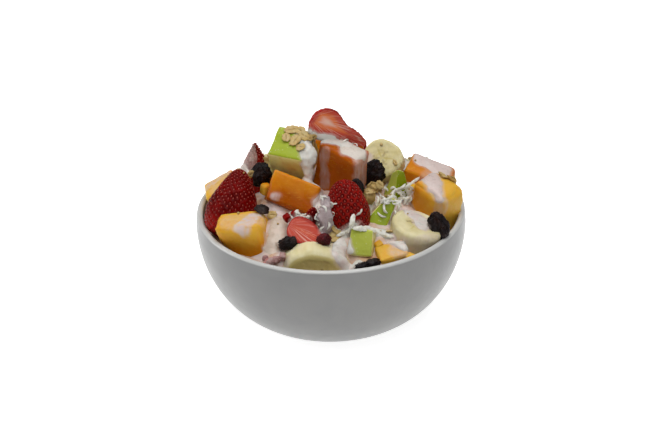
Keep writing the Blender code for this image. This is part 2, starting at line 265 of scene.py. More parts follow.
glaze, tree, shader = new_material(
    "white_glaze", Specular_IOR_Level=0.5, Coat_Weight=0.25, Coat_Roughness=0.12
)
cloud = mottle(tree, 55, detail=2)
glazed = mix(tree, spread(tree, cloud, 0.35, 0.7), GLAZE_IN_PAINTED_SHADE, GLAZE_POOLED_IN_PAINTED_SHADE)
# painted light from above on the lip and the inside, over the glaze in painted shade
glazed = mix(tree, painted(tree, "lip"), glazed, GLAZE_PAINTED_TOP_LIGHT)
bare = painted(tree, "bare_foot")
satin = spread(tree, mottle(tree, 140, detail=3), 0.3, 0.7, 0.28, 0.36)
feed(
    shader,
    Base_Color=mix(tree, bare, glazed, BARE_CLAY),
    Roughness=maths(tree, "MULTIPLY_ADD", bare, 0.4, satin),
    Normal=bump(tree, mottle(tree, 320, detail=1), 0.00006),
)
bowl.data.materials.append(glaze)

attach(bowl, "root")
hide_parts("bowl")


# ------------------------------------------------------- the bed of yogurt and small fruit
# Spooned fruit and pink yogurt fill the bowl to just under its lip, heaped to a dome. Yogurt has
# run down between the big pieces and stands in smooth pools wherever it found a hollow.

BED_GAP = 0.36
BED_EDGE_HEIGHT = 55.0
BED_RISE = 21.0
BED_RINGS = 100
BED_STEPS = 280
BED_MEETS_WALL = 53.0  # the wall below this is covered
BED_SWELLS = (1.5, 15)  # how high, and over what width
BED_LUMPS = (1.1, 5.5)
BED_MARGIN = 6  # no pool rises this near the wall
POOL_SPREAD = 1.6

bed_low, bed_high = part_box("yogurt_and_fruit_bed")
BED_RADIUS = (bed_high.x - bed_low.x) / 2 / MM

# Where yogurt stands: across, towards the back, height of its surface, how far it spreads
pools = [
    (-31, -38, 70.5, 9),
    (-27, -30, 73.5, 9),
    (-29, -52, 65.0, 6),
    (20, -56, 62.5, 8),
    (26, -38, 69.0, 9),
    (22, -12, 78.5, 7),
    (-31, -14, 79.0, 8),
    (-4, -22, 78.5, 7),
    (45, -22, 69.0, 8),
    (44, 6, 75.0, 8),
    (-8, 20, 80.0, 8),
    (0, 47, 70.0, 9),
    (-30, 46, 68.0, 8),
    (34, 32, 74.0, 9),
    (-50, 22, 68.0, 8),
    (48, 30, 68.5, 7),
]

# Where a large piece has sunk in and pressed the bed down: across, back, height, how far
hollows = [(-9, -61, 56.0, (26, 17))]


def bed_height(x, y):
    """Height of the bed in millimetres: a dome with soft lumps, and the pools that stand in it."""
    radius = math.hypot(x, y)
    height = BED_EDGE_HEIGHT + BED_RISE * (1 - (radius / BED_RADIUS) ** 2)
    height += BED_SWELLS[0] * noise.noise(Vector((x, y, 0)) / BED_SWELLS[1])
    height += BED_LUMPS[0] * abs(noise.noise(Vector((x, y, 9)) / BED_LUMPS[1]))
    for hollow_x, hollow_y, bottom, reach in hollows:
        away = min(1.0, math.hypot((x - hollow_x) / reach[0], (y - hollow_y) / reach[1]))
        height -= max(0.0, height - bottom) * (1 - away**3)
    inside = min(1.0, max(0.0, (BED_RADIUS - radius) / BED_MARGIN))
    for pool_x, pool_y, top, reach in pools:
        away = math.hypot(x - pool_x, y - pool_y) / reach
        if away < POOL_SPREAD:
            filled = top + 0.5 * noise.noise(Vector((x, y, 4)) / 4)
            share = (1 - min(1.0, away / POOL_SPREAD) ** 2) ** 1.5 * inside
            height += max(0.0, filled - height) * share
    return height


def make_bed():
    wall = wall_outline(WALL_THICKNESS + BED_GAP, FLOOR_THICKNESS + BED_GAP)
    lower = [point for point in wall if point[1] < BED_MEETS_WALL]
    bm = bmesh.new()
    rings = []
    for radius, height in lower:
        rings.append([(radius, height)] * BED_STEPS)
    for ring in range(BED_RINGS):
        rings.append([(BED_RADIUS * (1 - ring / BED_RINGS), None)] * BED_STEPS)
    verts = []
    for ring in rings:
        row = []
        for step, (radius, height) in enumerate(ring):
            turn = math.tau * step / BED_STEPS
            x, y = radius * math.cos(turn), radius * math.sin(turn)
            z = bed_height(x, y) if height is None else height
            row.append(bm.verts.new((x * MM, y * MM, z * MM)))
        verts.append(row)
    for low, high in zip(verts, verts[1:]):
        for step in range(BED_STEPS):
            after = (step + 1) % BED_STEPS
            bm.faces.new((low[step], low[after], high[after], high[step]))
    floor = bm.verts.new((0, 0, (FLOOR_THICKNESS + BED_GAP) * MM))
    crown = bm.verts.new((0, 0, bed_height(0, 0) * MM))
    for step in range(BED_STEPS):
        after = (step + 1) % BED_STEPS
        bm.faces.new((floor, verts[0][after], verts[0][step]))
        bm.faces.new((crown, verts[-1][step], verts[-1][after]))
    return new_piece("yogurt_bed", bm)


YOGURT_PINK = (0.66, 0.535, 0.50, 1.0)
YOGURT_WHITE = (0.68, 0.665, 0.61, 1.0)
YOGURT_PEACH = (0.565, 0.36, 0.23, 1.0)
YOGURT_PAINTED_SHADE = (0.42, 0.34, 0.345, 1.0)

bed_yogurt, tree, shader = translucent("yogurt_bed", 0.5, 0.25, (1.0, 0.7, 0.6), 2)
juicy = spread(tree, mottle(tree, 90, detail=2), 0.38, 0.64)
relief = maths(tree, "ADD", mottle(tree, 420, detail=2), mottle(tree, 1500, detail=1))
feed(
    shader,
    Base_Color=mix(tree, juicy, YOGURT_PINK, YOGURT_PEACH),
    Roughness=spread(tree, mottle(tree, 300), 0.3, 0.7, 0.24, 0.40),
    Normal=bump(tree, relief, 0.00012),
)

bed = make_bed()
bed.data.materials.append(bed_yogurt)
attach(bed, "root")
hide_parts("yogurt_and_fruit_bed")


# ----------------------------------------------------------------------------- the melon
# Ripe orange melon, rind off, cut with a knife into wet chunks of a mouthful each. The flesh is
# translucent, deeper in colour towards the seeds, and the corners are soft from stirring. Sides and
# whole chunks that lie in shade are painted a deeper orange too, as painted shade.

fruit = []

SKIN_FROM = 0.86  # the share of the way out to a face where its skin starts
SKIN_EDGE = 9


def block_mesh(
    size, narrowing, edge_round, seed, cuts=26, corners=None, belly=(0, 0, 0), dent=0.35, skins=None
):
    """A cut block, narrower towards its top. Corners names those that lean, skins the uncut faces."""
    bm = bmesh.new()
    bmesh.ops.create_cube(bm, size=2.0)
    bmesh.ops.subdivide_edges(bm, edges=bm.edges[:], cuts=cuts, use_grid_fill=True)
    for layer, side in (skins or {}).items():
        kept = bm.verts.layers.float.new(layer)
        for vert in bm.verts:
            towards = vert.co["XYZ".index(side[1])] * (1 if side[0] == "+" else -1)
            vert[kept] = min(1.0, max(0.0, (towards - SKIN_FROM) * SKIN_EDGE))
    half = [side / 2 for side in size]
    offset = Vector((seed * 3.1, -seed * 1.7, seed * 0.9))
    for vert in bm.verts:
        unit = [0.45 * u + 0.55 * math.sin(u * math.pi / 2) for u in vert.co]
        keep = 1 - narrowing * (unit[2] + 1) / 2
        flat = Vector((unit[0] * half[0] * keep, unit[1] * half[1] * keep, unit[2] * half[2]))
        rough = edge_round * (1 + 0.5 * noise.noise(flat / 5 + offset))
        core = Vector([max(-1.0, min(1.0, unit[i])) * (half[i] * (keep if i < 2 else 1)) for i in range(3)])
        reach = [half[i] * (keep if i < 2 else 1) - rough for i in range(3)]
        core = Vector([max(-reach[i], min(reach[i], core[i])) for i in range(3)])
        out = flat - core
        out = out.normalized() if out.length > 1e-9 else Vector((0, 0, 0))
        point = core + out * rough
        for i in range(3):
            others = [unit[j] for j in range(3) if j != i]
            point[i] += belly[i] * unit[i] * (1 - others[0] ** 2) * (1 - others[1] ** 2)
        for corner, move in (corners or {}).items():
            share = math.prod((1 + side * u) / 2 for side, u in zip(corner, unit))
            point += Vector(move) * share
        point += out * dent * noise.noise(point / 7 + offset) + out * 0.12 * noise.noise(point / 1.6 + offset)
        vert.co = point * MM
    return bm


def seat(piece, cad_node, turn):
    """Turns the piece, in degrees, and puts it where its CAD node lies."""
    about = np.array(Euler([math.radians(angle) for angle in turn]).to_matrix())
    points = points_of(piece.data) @ about.T
    low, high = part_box(cad_node)
    shift = np.array((low + high) / 2) - (points.min(0) + points.max(0)) / 2
    piece.data.vertices.foreach_set("co", (points + shift).astype(np.float32).ravel())
    piece.data.update()


def stands_for(piece, cad_node, material):
    piece.data.materials.clear()
    piece.data.materials.append(material)
    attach(piece, "root")
    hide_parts(cad_node)
    fruit.append(piece)


def new_group(name, inputs, outputs):
    """(group, what is given to it, what it gives back): inputs are colours or plain values."""
    group = bpy.data.node_groups.new(name, "ShaderNodeTree")
    for way, sockets in (("INPUT", inputs), ("OUTPUT", outputs)):
        for socket in sockets:
            kind = "NodeSocketColor" if "Colour" in socket else "NodeSocketFloat"
            group.interface.new_socket(socket, in_out=way, socket_type=kind)
    return group, group.nodes.new("NodeGroupInput").outputs, group.nodes.new("NodeGroupOutput").inputs


# Thin yogurt over fruit: it dulls and lightens the colour where the piece is painted with film,
# and it breaks up into streaks and beads towards its edge.
film_group, given, result = new_group("yogurt_film", ("Colour", "Film"), ("Colour",))
streaks = mottle(film_group, 380, detail=4, stretch=(1.0, 1.0, 0.35))
streaks = spread(film_group, streaks, 0.25, 0.75, 0.45, 1.25)
cover = maths(film_group, "MULTIPLY", given["Film"], streaks)
cover = node(film_group, "ShaderNodeClamp", {0: cover}).outputs[0]
film_group.links.new(mix(film_group, cover, given["Colour"], YOGURT_PINK), result["Colour"])


def under_film(tree, colour):
    """The colour of a surface with the yogurt film painted on its piece."""
    inputs = {"Colour": colour, "Film": painted(tree, "film")}
    return node(tree, "ShaderNodeGroup", inputs, node_tree=film_group).outputs["Colour"]


# The grain of wet cut fruit: fine fibres and cells, and a film of juice that is uneven in gloss.
grain_inputs = ("Fineness", "Driest", "Wettest")
grain_group, given, result = new_group("wet_grain", grain_inputs, ("Height", "Roughness"))
place = node(grain_group, "ShaderNodeTexCoord").outputs["Object"]
cells = node(grain_group, "ShaderNodeTexNoise", {"Vector": place, "Scale": given["Fineness"], "Detail": 4.0})
fibres = mottle(grain_group, 260, detail=3, stretch=(1.0, 1.0, 3.5))
drier = spread(grain_group, mottle(grain_group, 190, detail=2), 0.35, 0.65)
dryness = node(grain_group, "ShaderNodeMapRange", {0: drier, 3: given["Wettest"], 4: given["Driest"]})
height = maths(grain_group, "MULTIPLY_ADD", fibres, 0.7, cells.outputs["Fac"])
grain_group.links.new(height, result["Height"])
grain_group.links.new(dryness.outputs[0], result["Roughness"])


def finish_surface(shader, colour, fineness=900, driest=0.42, wettest=0.24, depth=0.10, strength=0.8):
    """Joins a colour and the grain, its depth in millimetres, to the shader."""
    tree = shader.id_data
    inputs = {"Fineness": fineness, "Driest": driest, "Wettest": wettest}
    grain = node(tree, "ShaderNodeGroup", inputs, node_tree=grain_group).outputs
    relief = bump(tree, grain["Height"], depth * MM, strength)
    feed(shader, Base_Color=colour, Roughness=grain["Roughness"], Normal=relief)


def cloudy(tree, value, scale, depth):
    """A value that drifts up and down by half of depth over the piece."""
    drift = maths(tree, "SUBTRACT", mottle(tree, scale, detail=3), 0.5)
    return maths(tree, "MULTIPLY_ADD", drift, depth, value)


# the deep colour also stands for melon that lies in shade, as painted shade
MELON_DEEP_AND_SHADED = (0.43, 0.092, 0.0005, 1.0)
MELON_RIPE = (0.62, 0.20, 0.002, 1.0)
MELON_PALE = (0.75, 0.42, 0.045, 1.0)

melon_flesh, tree, shader = translucent("melon_flesh", 0.12, 0.30, (1.0, 0.35, 0.10), 4)
# painted shade: the ripeness value also carries the shade, so sides and chunks in shade turn a deeper orange
ripeness_and_shade = cloudy(tree, painted(tree, "ripe_and_shaded"), 70, 0.9)
colour = mix(tree, spread(tree, ripeness_and_shade, 0.0, 0.55), MELON_PALE, MELON_RIPE)
colour = mix(tree, spread(tree, ripeness_and_shade, 0.5, 1.0), colour, MELON_DEEP_AND_SHADED)
threads = mottle(tree, 330, detail=3, stretch=(1.0, 1.0, 4.0))
colour = mix(tree, spread(tree, threads, 0.55, 0.8, 0.0, 0.35), colour, MELON_PALE)
finish_surface(shader, under_film(tree, colour))

# size, turn, and what sets one chunk off from another: how ripe it is, with its painted shade, how
# that value grades across the chunk towards its shaded sides, where its corners lean
melons = {
    "melon_crown": dict(
        size=(27, 14, 29), turn=(0, 9, -35), ripe_and_shaded=1.15, seed=1, corners={(1, -1, 1): (0, 0, -3)}
    ),
    "melon_mid_left": dict(
        size=(30, 15, 19), turn=(-35, 17, -18), ripe_and_shaded=0.85, ripe_and_shade_grade=(0.1, 0, -0.9), seed=2,
        corners={(1, -1, -1): (0, 0, 3), (-1, -1, -1): (4, 0, 2)},
    ),
    "melon_front_left": dict(
        size=(28, 21, 24), turn=(2, -6, -8), ripe_and_shaded=0.4, ripe_and_shade_grade=(-0.1, 0, -0.9), seed=3, edge_round=3.6,
        belly=(0.8, 0.8, 0.6),
        corners={
            (-1, -1, -1): (7, 6, 0), (1, -1, -1): (4, -9, -3), (1, 1, -1): (2, 0, 0), (-1, 1, -1): (5, 0, 0)
        },
    ),
    "melon_left_rim": dict(size=(20, 20, 18), turn=(0, -28, 8), ripe_and_shaded=-0.1, seed=4),
    "melon_bit_left": dict(size=(5, 5, 6), turn=(0, 10, 30), ripe_and_shaded=0.3, seed=5, edge_round=1.0, cuts=12),
    "melon_front": dict(size=(17, 12, 11), turn=(20, -8, 14), ripe_and_shaded=0.05, seed=6, edge_round=1.2),
    "melon_right": dict(
        size=(24, 21, 29), turn=(4, 12, -44), ripe_and_shaded=0.0, ripe_and_shade_grade=(-0.4, -0.5, -0.2), seed=7, edge_round=4.0,
        belly=(1.0, 1.2, 0.8),
    ),
    "melon_right_back": dict(size=(28, 18, 18), turn=(12, 14, -22), ripe_and_shaded=0.5, seed=8),
    "melon_back": dict(
        size=(25, 21, 22), turn=(-22, 6, 30), ripe_and_shaded=0.6, seed=9, edge_round=2.4, belly=(0.6, 0.6, 0.6)
    ),
    "melon_back_rim": dict(size=(23, 20, 20), turn=(-20, 4, -14), ripe_and_shaded=0.4, seed=10),
    "melon_left_back": dict(size=(17, 16, 15), turn=(-12, -16, -20), ripe_and_shaded=0.7, seed=11),
    "melon_back_high": dict(size=(19, 15, 16), turn=(-18, 4, 24), ripe_and_shaded=0.8, seed=12),
}

for cad_node, cut in melons.items():
    size, turn, ripe_and_shaded = cut.pop("size"), cut.pop("turn"), cut.pop("ripe_and_shaded")
    ripe_and_shade_grade = cut.pop("ripe_and_shade_grade", (0.25, 0.25, 0.25))
    bm = block_mesh(size, 0.08, **{"edge_round": 1.8, "belly": (0.3, 0.3, 0.3), **cut})
    chunk = new_piece(cad_node + "_chunk", bm)
    local = points_of(chunk.data) / MM / np.array(size)
    # painted shade: the value grades across the chunk, deeper towards the sides that lie in shade
    paint(chunk.data, "ripe_and_shaded", ripe_and_shaded + local @ np.array(ripe_and_shade_grade))
    seat(chunk, cad_node, turn)
    stands_for(chunk, cad_node, melon_flesh)


# ----------------------------------------------------------------------------- the apple
# Crisp green apple with its skin on, cut into wedge-like blocks. The skin is thin and glossy with
# small pale pores; the cut flesh is cream and turns slightly tan in patches.

APPLE_SKIN = (0.31, 0.40, 0.012, 1.0)
APPLE_SKIN_BRIGHT = (0.21, 0.31, 0.001, 1.0)
APPLE_SKIN_PALE = (0.50, 0.55, 0.09, 1.0)
APPLE_PORE = (0.62, 0.64, 0.30, 1.0)
APPLE_FLESH = (0.78, 0.77, 0.30, 1.0)
APPLE_BROWNED = (0.62, 0.49, 0.17, 1.0)

apple_cut, tree, shader = translucent("apple_skin_and_flesh", 0.15, 0.18, (1.0, 0.8, 0.3), 2.5)
old, young = painted(tree, "skin"), painted(tree, "young_skin")
skin = spread(tree, maths(tree, "MAXIMUM", old, young), 0.45, 0.60)
blush = spread(tree, mottle(tree, 60, detail=3), 0.35, 0.6)
skin_colour = mix(tree, blush, APPLE_SKIN_BRIGHT, APPLE_SKIN)
pale = maths(tree, "MAXIMUM", painted(tree, "pale_skin"), maths(tree, "SUBTRACT", young, old))
skin_colour = mix(tree, pale, skin_colour, APPLE_SKIN_PALE)
place = node(tree, "ShaderNodeTexCoord").outputs["Object"]
pores = node(tree, "ShaderNodeTexVoronoi", {"Scale": 420.0, "Vector": place}).outputs["Distance"]
skin_colour = mix(tree, spread(tree, pores, 0.22, 0.12, 0.0, 0.45), skin_colour, APPLE_PORE)
browned = spread(tree, mottle(tree, 160, detail=4), 0.45, 0.75, 0.0, 0.6)
colour = mix(tree, skin, mix(tree, browned, APPLE_FLESH, APPLE_BROWNED), skin_colour)
finish_surface(shader, under_film(tree, colour), 1400, 0.38, 0.2, 0.06)

# skin names the faces that keep their skin, +Z, -Y and so on in the block's own frame; pale says
# how pale it is
apples = {
    "apple_crown": dict(size=(22, 21, 22), turn=(30, 4, -20), skin="+Z", pale=0.25, seed=21),
    "apple_front": dict(size=(13, 12, 14), turn=(-30, 0, -14), skin="-Y", pale=0.9, seed=22),
    "apple_right": dict(
        size=(13, 10.5, 19.5), turn=(0, 4, 42), skin="-Y", young_skin="-X", pale=0.0, seed=23,
        corners={
            (-1, -1, 1): (2.5, 1.5, 0), (1, -1, 1): (-3.5, 2, -3),
            (-1, 1, 1): (3, -3, -4), (1, 1, 1): (-3, -3, -4),
        },
    ),
    "apple_centre_right": dict(
        size=(12, 11, 18), turn=(-35, 22, -14), skin="-Y", pale=0.1, seed=24,
        corners={(-1, -1, 1): (5, 0, -1), (-1, 1, 1): (4, 0, -1)},
    ),
    "apple_back_left": dict(size=(19, 16, 17), turn=(-20, -24, 34), skin="+Y", pale=0.2, seed=25),
    "apple_back_right": dict(size=(14, 13, 14), turn=(-14, 22, 12), skin="+X", pale=0.3, seed=26),
}

for cad_node, cut in apples.items():
    skins = {"skin": cut["skin"], "young_skin": cut.get("young_skin", cut["skin"])}
    shape = dict(corners=cut.get("corners"), belly=(0.2, 0.2, 0.9), dent=0.25, skins=skins)
    bm = block_mesh(cut["size"], 0.10, 0.9, cut["seed"], **shape)
    chunk = new_piece(cad_node + "_chunk", bm)
    paint(chunk.data, "pale_skin", np.full(len(chunk.data.vertices), cut["pale"]))
    seat(chunk, cad_node, cut["turn"])
    stands_for(chunk, cad_node, apple_cut)


# ---------------------------------------------------------------------------- the banana
# Peeled ripe banana, cut across into thick rounds. The cut face shows three soft lobes with a ring
# of tiny seeds; the outside is creamy, with long fibres left by the peel.

BANANA_CREAM = (0.76, 0.69, 0.43, 1.0)
BANANA_CORE = (0.57, 0.47, 0.17, 1.0)
BANANA_SEED = (0.16, 0.08, 0.035, 1.0)
BANANA_FIBRE = (0.66, 0.60, 0.28, 1.0)

banana_flesh, tree, shader = translucent("banana_flesh", 0.25, 0.25, (1.0, 0.8, 0.4), 3)
riper = spread(tree, mottle(tree, 130, detail=3), 0.4, 0.75, 0.0, 0.5)
colour = mix(tree, riper, BANANA_CREAM, BANANA_CORE)
# the core colour is also the painted shade on the cut faces
for layer, tone in (("core", BANANA_CORE), ("fibre", BANANA_FIBRE), ("seed", BANANA_SEED)):
    colour = mix(tree, painted(tree, layer), colour, tone)
finish_surface(shader, under_film(tree, colour), 1100, 0.55, 0.35, 0.12)


def slice_mesh(across, thickness, edge_round, seed, rings=34, steps=150, walls=16):
    """A round with three soft corners: cut faces on +Z and -Z, fibres down its side."""
    bm = bmesh.new()
    offset = Vector((seed * 2.3, seed, -seed * 1.1))
    half = thickness / 2
    flat = 1 - edge_round / (across[0] / 2)

    def rim(turn):
        uneven = noise.noise(Vector((math.cos(turn), math.sin(turn), seed)) * 1.5)
        corner = 1 + 0.035 * math.cos(3 * turn) + 0.02 * uneven
        return across[0] / 2 * corner, across[1] / 2 * corner

    def edge(turn, side):
        share = 1 - edge_round * (1 - math.sin(turn)) / (across[0] / 2)
        return share, side * (half - edge_round * (1 - math.cos(turn))), 0

    outline = [(flat * share / rings, half, 1) for share in range(1, rings)]
    outline += [edge(math.pi / 2 * step / 6, 1) for step in range(7)]
    outline += [(1.0, (half - edge_round) * (1 - 2 * step / walls), 0) for step in range(1, walls)]
    outline += [edge(math.pi / 2 * (1 - step / 6), -1) for step in range(7)]
    outline += [(flat * share / rings, -half, -1) for share in range(rings - 1, 0, -1)]
    rows = []
    for share, height, face in outline:
        row = []
        for step in range(steps):
            turn = math.tau * step / steps
            wide, deep = rim(turn)
            point = Vector((share * wide * math.cos(turn), share * deep * math.sin(turn), height))
            out = Vector((math.cos(turn), math.sin(turn), 0)) if not face else Vector((0, 0, face))
            fibre = noise.noise(Vector((turn * 9, seed, height / 9)))
            relief = 0.22 * fibre if not face else 0.22 * noise.noise(point / 2.2 + offset)
            point += out * (relief + 0.45 * noise.noise(point / 9 + offset))
            row.append(bm.verts.new(point * MM))
        rows.append(row)
    for one, other in zip(rows, rows[1:]):
        for step in range(steps):
            after = (step + 1) % steps
            bm.faces.new((one[step], other[step], other[after], one[after]))
    for row, face in ((rows[0], 1), (rows[-1], -1)):
        centre = bm.verts.new((0, 0, half * face * MM))
        for step in range(steps):
            bm.faces.new((centre, row[step], row[(step + 1) % steps]))
    return bm


def paint_slice(slice_piece, form):
    """Core, three seams, seeds, side fibres and painted shade on the cut faces, by each point's place in the
    round.
    """
    across, thickness, seed = form["across"], form["thickness"], form["seed"]
    local = points_of(slice_piece.data) / MM
    away = np.hypot(local[:, 0] / (across[0] / 2), local[:, 1] / (across[1] / 2))
    turn = np.arctan2(local[:, 1], local[:, 0])
    on_face = np.clip((np.abs(local[:, 2]) - thickness / 2 + 1.2) / 0.6, 0, 1) * (away < 0.93)
    seams = np.exp(-(((np.abs(np.sin(1.5 * turn))) * away / 0.06) ** 2)) * (away < 0.62)
    ring = np.exp(-(((away - 0.36) / 0.16) ** 2))
    core = on_face * np.clip(0.55 * ring + 0.5 * seams + 0.35 * (away < 0.3), 0, 1)
    seed_mask = np.zeros(len(local))
    face_shade = form.get("face_shade", 0.0)
    drawn = random.Random(seed)
    for lobe in range(3):
        for place in (0.13, 0.22, 0.31, 0.40):
            angle = math.tau * (lobe + 0.5) / 3 + drawn.uniform(-0.22, 0.22)
            spot_x = place * across[0] / 2 * math.cos(angle)
            spot_y = place * across[1] / 2 * math.sin(angle)
            gap = np.hypot(local[:, 0] - spot_x, local[:, 1] - spot_y)
            seed_mask += np.exp(-((gap / 0.65) ** 2))
    mesh = slice_piece.data
    paint(mesh, "seed", np.clip(seed_mask * on_face * form.get("seeds", 0.8), 0, 1))
    # painted shade: the cut faces are darkened towards the core colour, most on the front round, whose face
    # lies in shade
    core = np.maximum(core, face_shade * on_face)
    paint(mesh, "core", core)
    fibres = 0.5 + 0.5 * np.sin(turn * 37 + 3 * np.sin(turn * 5 + seed))
    paint(mesh, "fibre", (1 - on_face) * (away > 0.9) * fibres**3 * form.get("fibred", 0.7))


bananas = {
    "banana_front": dict(
        across=(39, 33), thickness=18, turn=(93, 0, 2), seed=31, edge_round=5.0, fibred=0.3, face_shade=0.95
    ),
    "banana_right": dict(across=(28, 26), thickness=18, turn=(6, 14, 0), seed=32, edge_round=2.2, fibred=0.3),
    "banana_back": dict(
        across=(23, 23), thickness=12, turn=(46, 0, -14), seed=33, edge_round=2.0, seeds=0.4, face_shade=0.35
    ),
    "banana_back_rim": dict(across=(30, 28), thickness=13, turn=(-34, 22, 0), seed=34, edge_round=1.2),
    "banana_back_left": dict(across=(24, 23), thickness=11, turn=(-40, -14, 0), seed=35, edge_round=1.2),
}

for cad_node, cut in bananas.items():
    bm = slice_mesh(cut["across"], cut["thickness"], cut["edge_round"], cut["seed"])
    round_slice = new_piece(cad_node + "_slice", bm)
    paint_slice(round_slice, cut)
    seat(round_slice, cad_node, cut["turn"])
    stands_for(round_slice, cad_node, banana_flesh)


# ---------------------------------------------------------------------- the strawberries
# Ripe strawberries, hulled: whole ones with glossy dark red skin, and halves with a pale heart,
# fibres that fan out from it, and a thin dark edge of skin. A seed sits in every dimple.

SEED_SPACING = 3.0
WAIST_AT = 0.12
WAIST_REACH = 0.38
DIMPLE_DEPTH = 0.42
DIMPLE_RADIUS = 0.95
SWELL_BETWEEN = 0.16  # how far the skin stands up between the dimples
SEED_SIZE = (0.33, 0.56, 0.24)
SEED_SUNK = 0.72  # of the depth of its dimple
HEART_EDGE = 0.85  # the heart's colours end here, and the red under the skin begins

BERRY_SKIN = (0.21, 0.002, 0.001, 1.0)
BERRY_DARK = (0.085, 0.001, 0.001, 1.0)
BERRY_PALE_AND_HIGHLIGHT = (0.46, 0.022, 0.014, 1.0)
BERRY_CUT_RED = (0.60, 0.085, 0.055, 1.0)
BERRY_CUT_DEEP = (0.36, 0.02, 0.018, 1.0)
BERRY_CUT_ORANGE = (0.84, 0.22, 0.07, 1.0)
BERRY_HEART = (0.94, 0.62, 0.52, 1.0)
BERRY_SEED = (0.24, 0.07, 0.045, 1.0)

berry_skin, tree, shader = translucent("strawberry_skin_and_flesh", 0.06, 0.12, (1.0, 0.2, 0.15), 3)
skin_colour = mix(tree, spread(tree, mottle(tree, 80, detail=3), 0.35, 0.7), BERRY_SKIN, BERRY_DARK)
# painted shade: the skin is darker in its dimples
painted_dimple_shade = spread(tree, painted(tree, "dimple"), 0.15, 0.9, 0.0, 0.75)
skin_colour = mix(tree, painted_dimple_shade, skin_colour, BERRY_DARK)
# painted highlight: the skin between the dimples is lighter where the net is set; the shoulders are paler
pale_shoulder_and_highlight = maths(tree, "MULTIPLY", painted(tree, "pale_shoulder_and_highlight"), 0.8)
skin_colour = mix(tree, pale_shoulder_and_highlight, skin_colour, BERRY_PALE_AND_HIGHLIGHT)
heart = painted(tree, "heart")
fan = node(tree, "ShaderNodeAttribute", attribute_name="fan").outputs["Vector"]
rays = spread(tree, mottle(tree, 1.0, detail=4, roughness=0.6, where=fan), 0.48, 0.72, 0.0, 0.75)
cut_colour = mix(tree, spread(tree, heart, 0.0, 0.35), BERRY_HEART, BERRY_CUT_ORANGE)
cut_colour = mix(tree, spread(tree, heart, 0.3, 0.68), cut_colour, BERRY_CUT_RED)
cut_colour = mix(tree, rays, cut_colour, BERRY_HEART)
cut_colour = mix(tree, spread(tree, heart, 0.86, 0.97), cut_colour, BERRY_CUT_DEEP)
colour = mix(tree, painted(tree, "cut"), skin_colour, cut_colour)
finish_surface(shader, under_film(tree, colour), 1300, 0.34, 0.2, 0.07)

berry_seed, tree, shader = new_material("strawberry_seed", Roughness=0.4, Specular_IOR_Level=0.3)
feed(shader, Base_Color=under_film(tree, mix(tree, mottle(tree, 900), BERRY_SEED, BERRY_PALE_AND_HIGHLIGHT)))


def unit_ball(subdivisions):
    bm = bmesh.new()
    bmesh.ops.create_icosphere(bm, subdivisions=subdivisions, radius=1.0)
    points = np.array([vert.co for vert in bm.verts])
    faces = [[vert.index for vert in face.verts] for face in bm.faces]
    bm.free()
    return points, faces


def berry_surface(unit, form):
    """Points of a cone with round shoulders and a blunt tip at +Z, a little uneven."""
    (width, depth, length), seed = form["size"], form["seed"]
    height = unit[:, 2]
    girth = np.sqrt(np.clip(1 - height**2, 1e-9, 1))
    drawn_in = form.get("waist", 0.0) * np.exp(-(((height - WAIST_AT) / WAIST_REACH) ** 2))
    taper = girth**-0.2 * (1 - form["shoulder"] * (height + 1) / 2) * (1 - drawn_in)
    offset = Vector((seed, -seed, seed * 0.5))
    uneven = np.array([noise.noise(Vector(point) * 1.6 + offset) for point in unit])
    taper = taper * (1 + 0.05 * uneven)
    wide, deep = unit[:, 0] * taper * width / 2, unit[:, 1] * taper * depth / 2
    return np.column_stack((wide, deep, height * length / 2))


def seed_directions(count):
    """Evenly spread directions, wound round from the tip to the stalk."""
    k = np.arange(count) + 0.5
    height = 1 - 2 * k / count
    turn = k * math.pi * (3 - math.sqrt(5))
    girth = np.sqrt(1 - height**2)
    return np.column_stack((girth * np.cos(turn), girth * np.sin(turn), height))


def vertex_normals(points, faces):
    triangles = points[np.array(faces)]
    across = np.cross(triangles[:, 1] - triangles[:, 0], triangles[:, 2] - triangles[:, 0])
    normals = np.zeros_like(points)
    for corner in range(3):
        np.add.at(normals, np.array(faces)[:, corner], across)
    return normals / np.maximum(np.linalg.norm(normals, axis=1, keepdims=True), 1e-12)


def joined(parts):
    """(points, faces) of several small meshes as one."""
    faces = []
    count = 0
    for part in parts:
        faces += [[index + count for index in face] for face in part[1]]
        count += len(part[0])
    return np.concatenate([part[0] for part in parts]), faces


def join_parts(name, parts, material, layer="toast"):
    """One piece from several small meshes: each is (points in mm, faces, painted values)."""
    points, faces = joined(parts)
    piece = mesh_piece(name, points * MM, faces, 70)
    paint(piece.data, layer, np.concatenate([part[2] for part in parts]))
    piece.data.materials.append(material)
    return piece


grain_points, grain_faces = unit_ball(2)


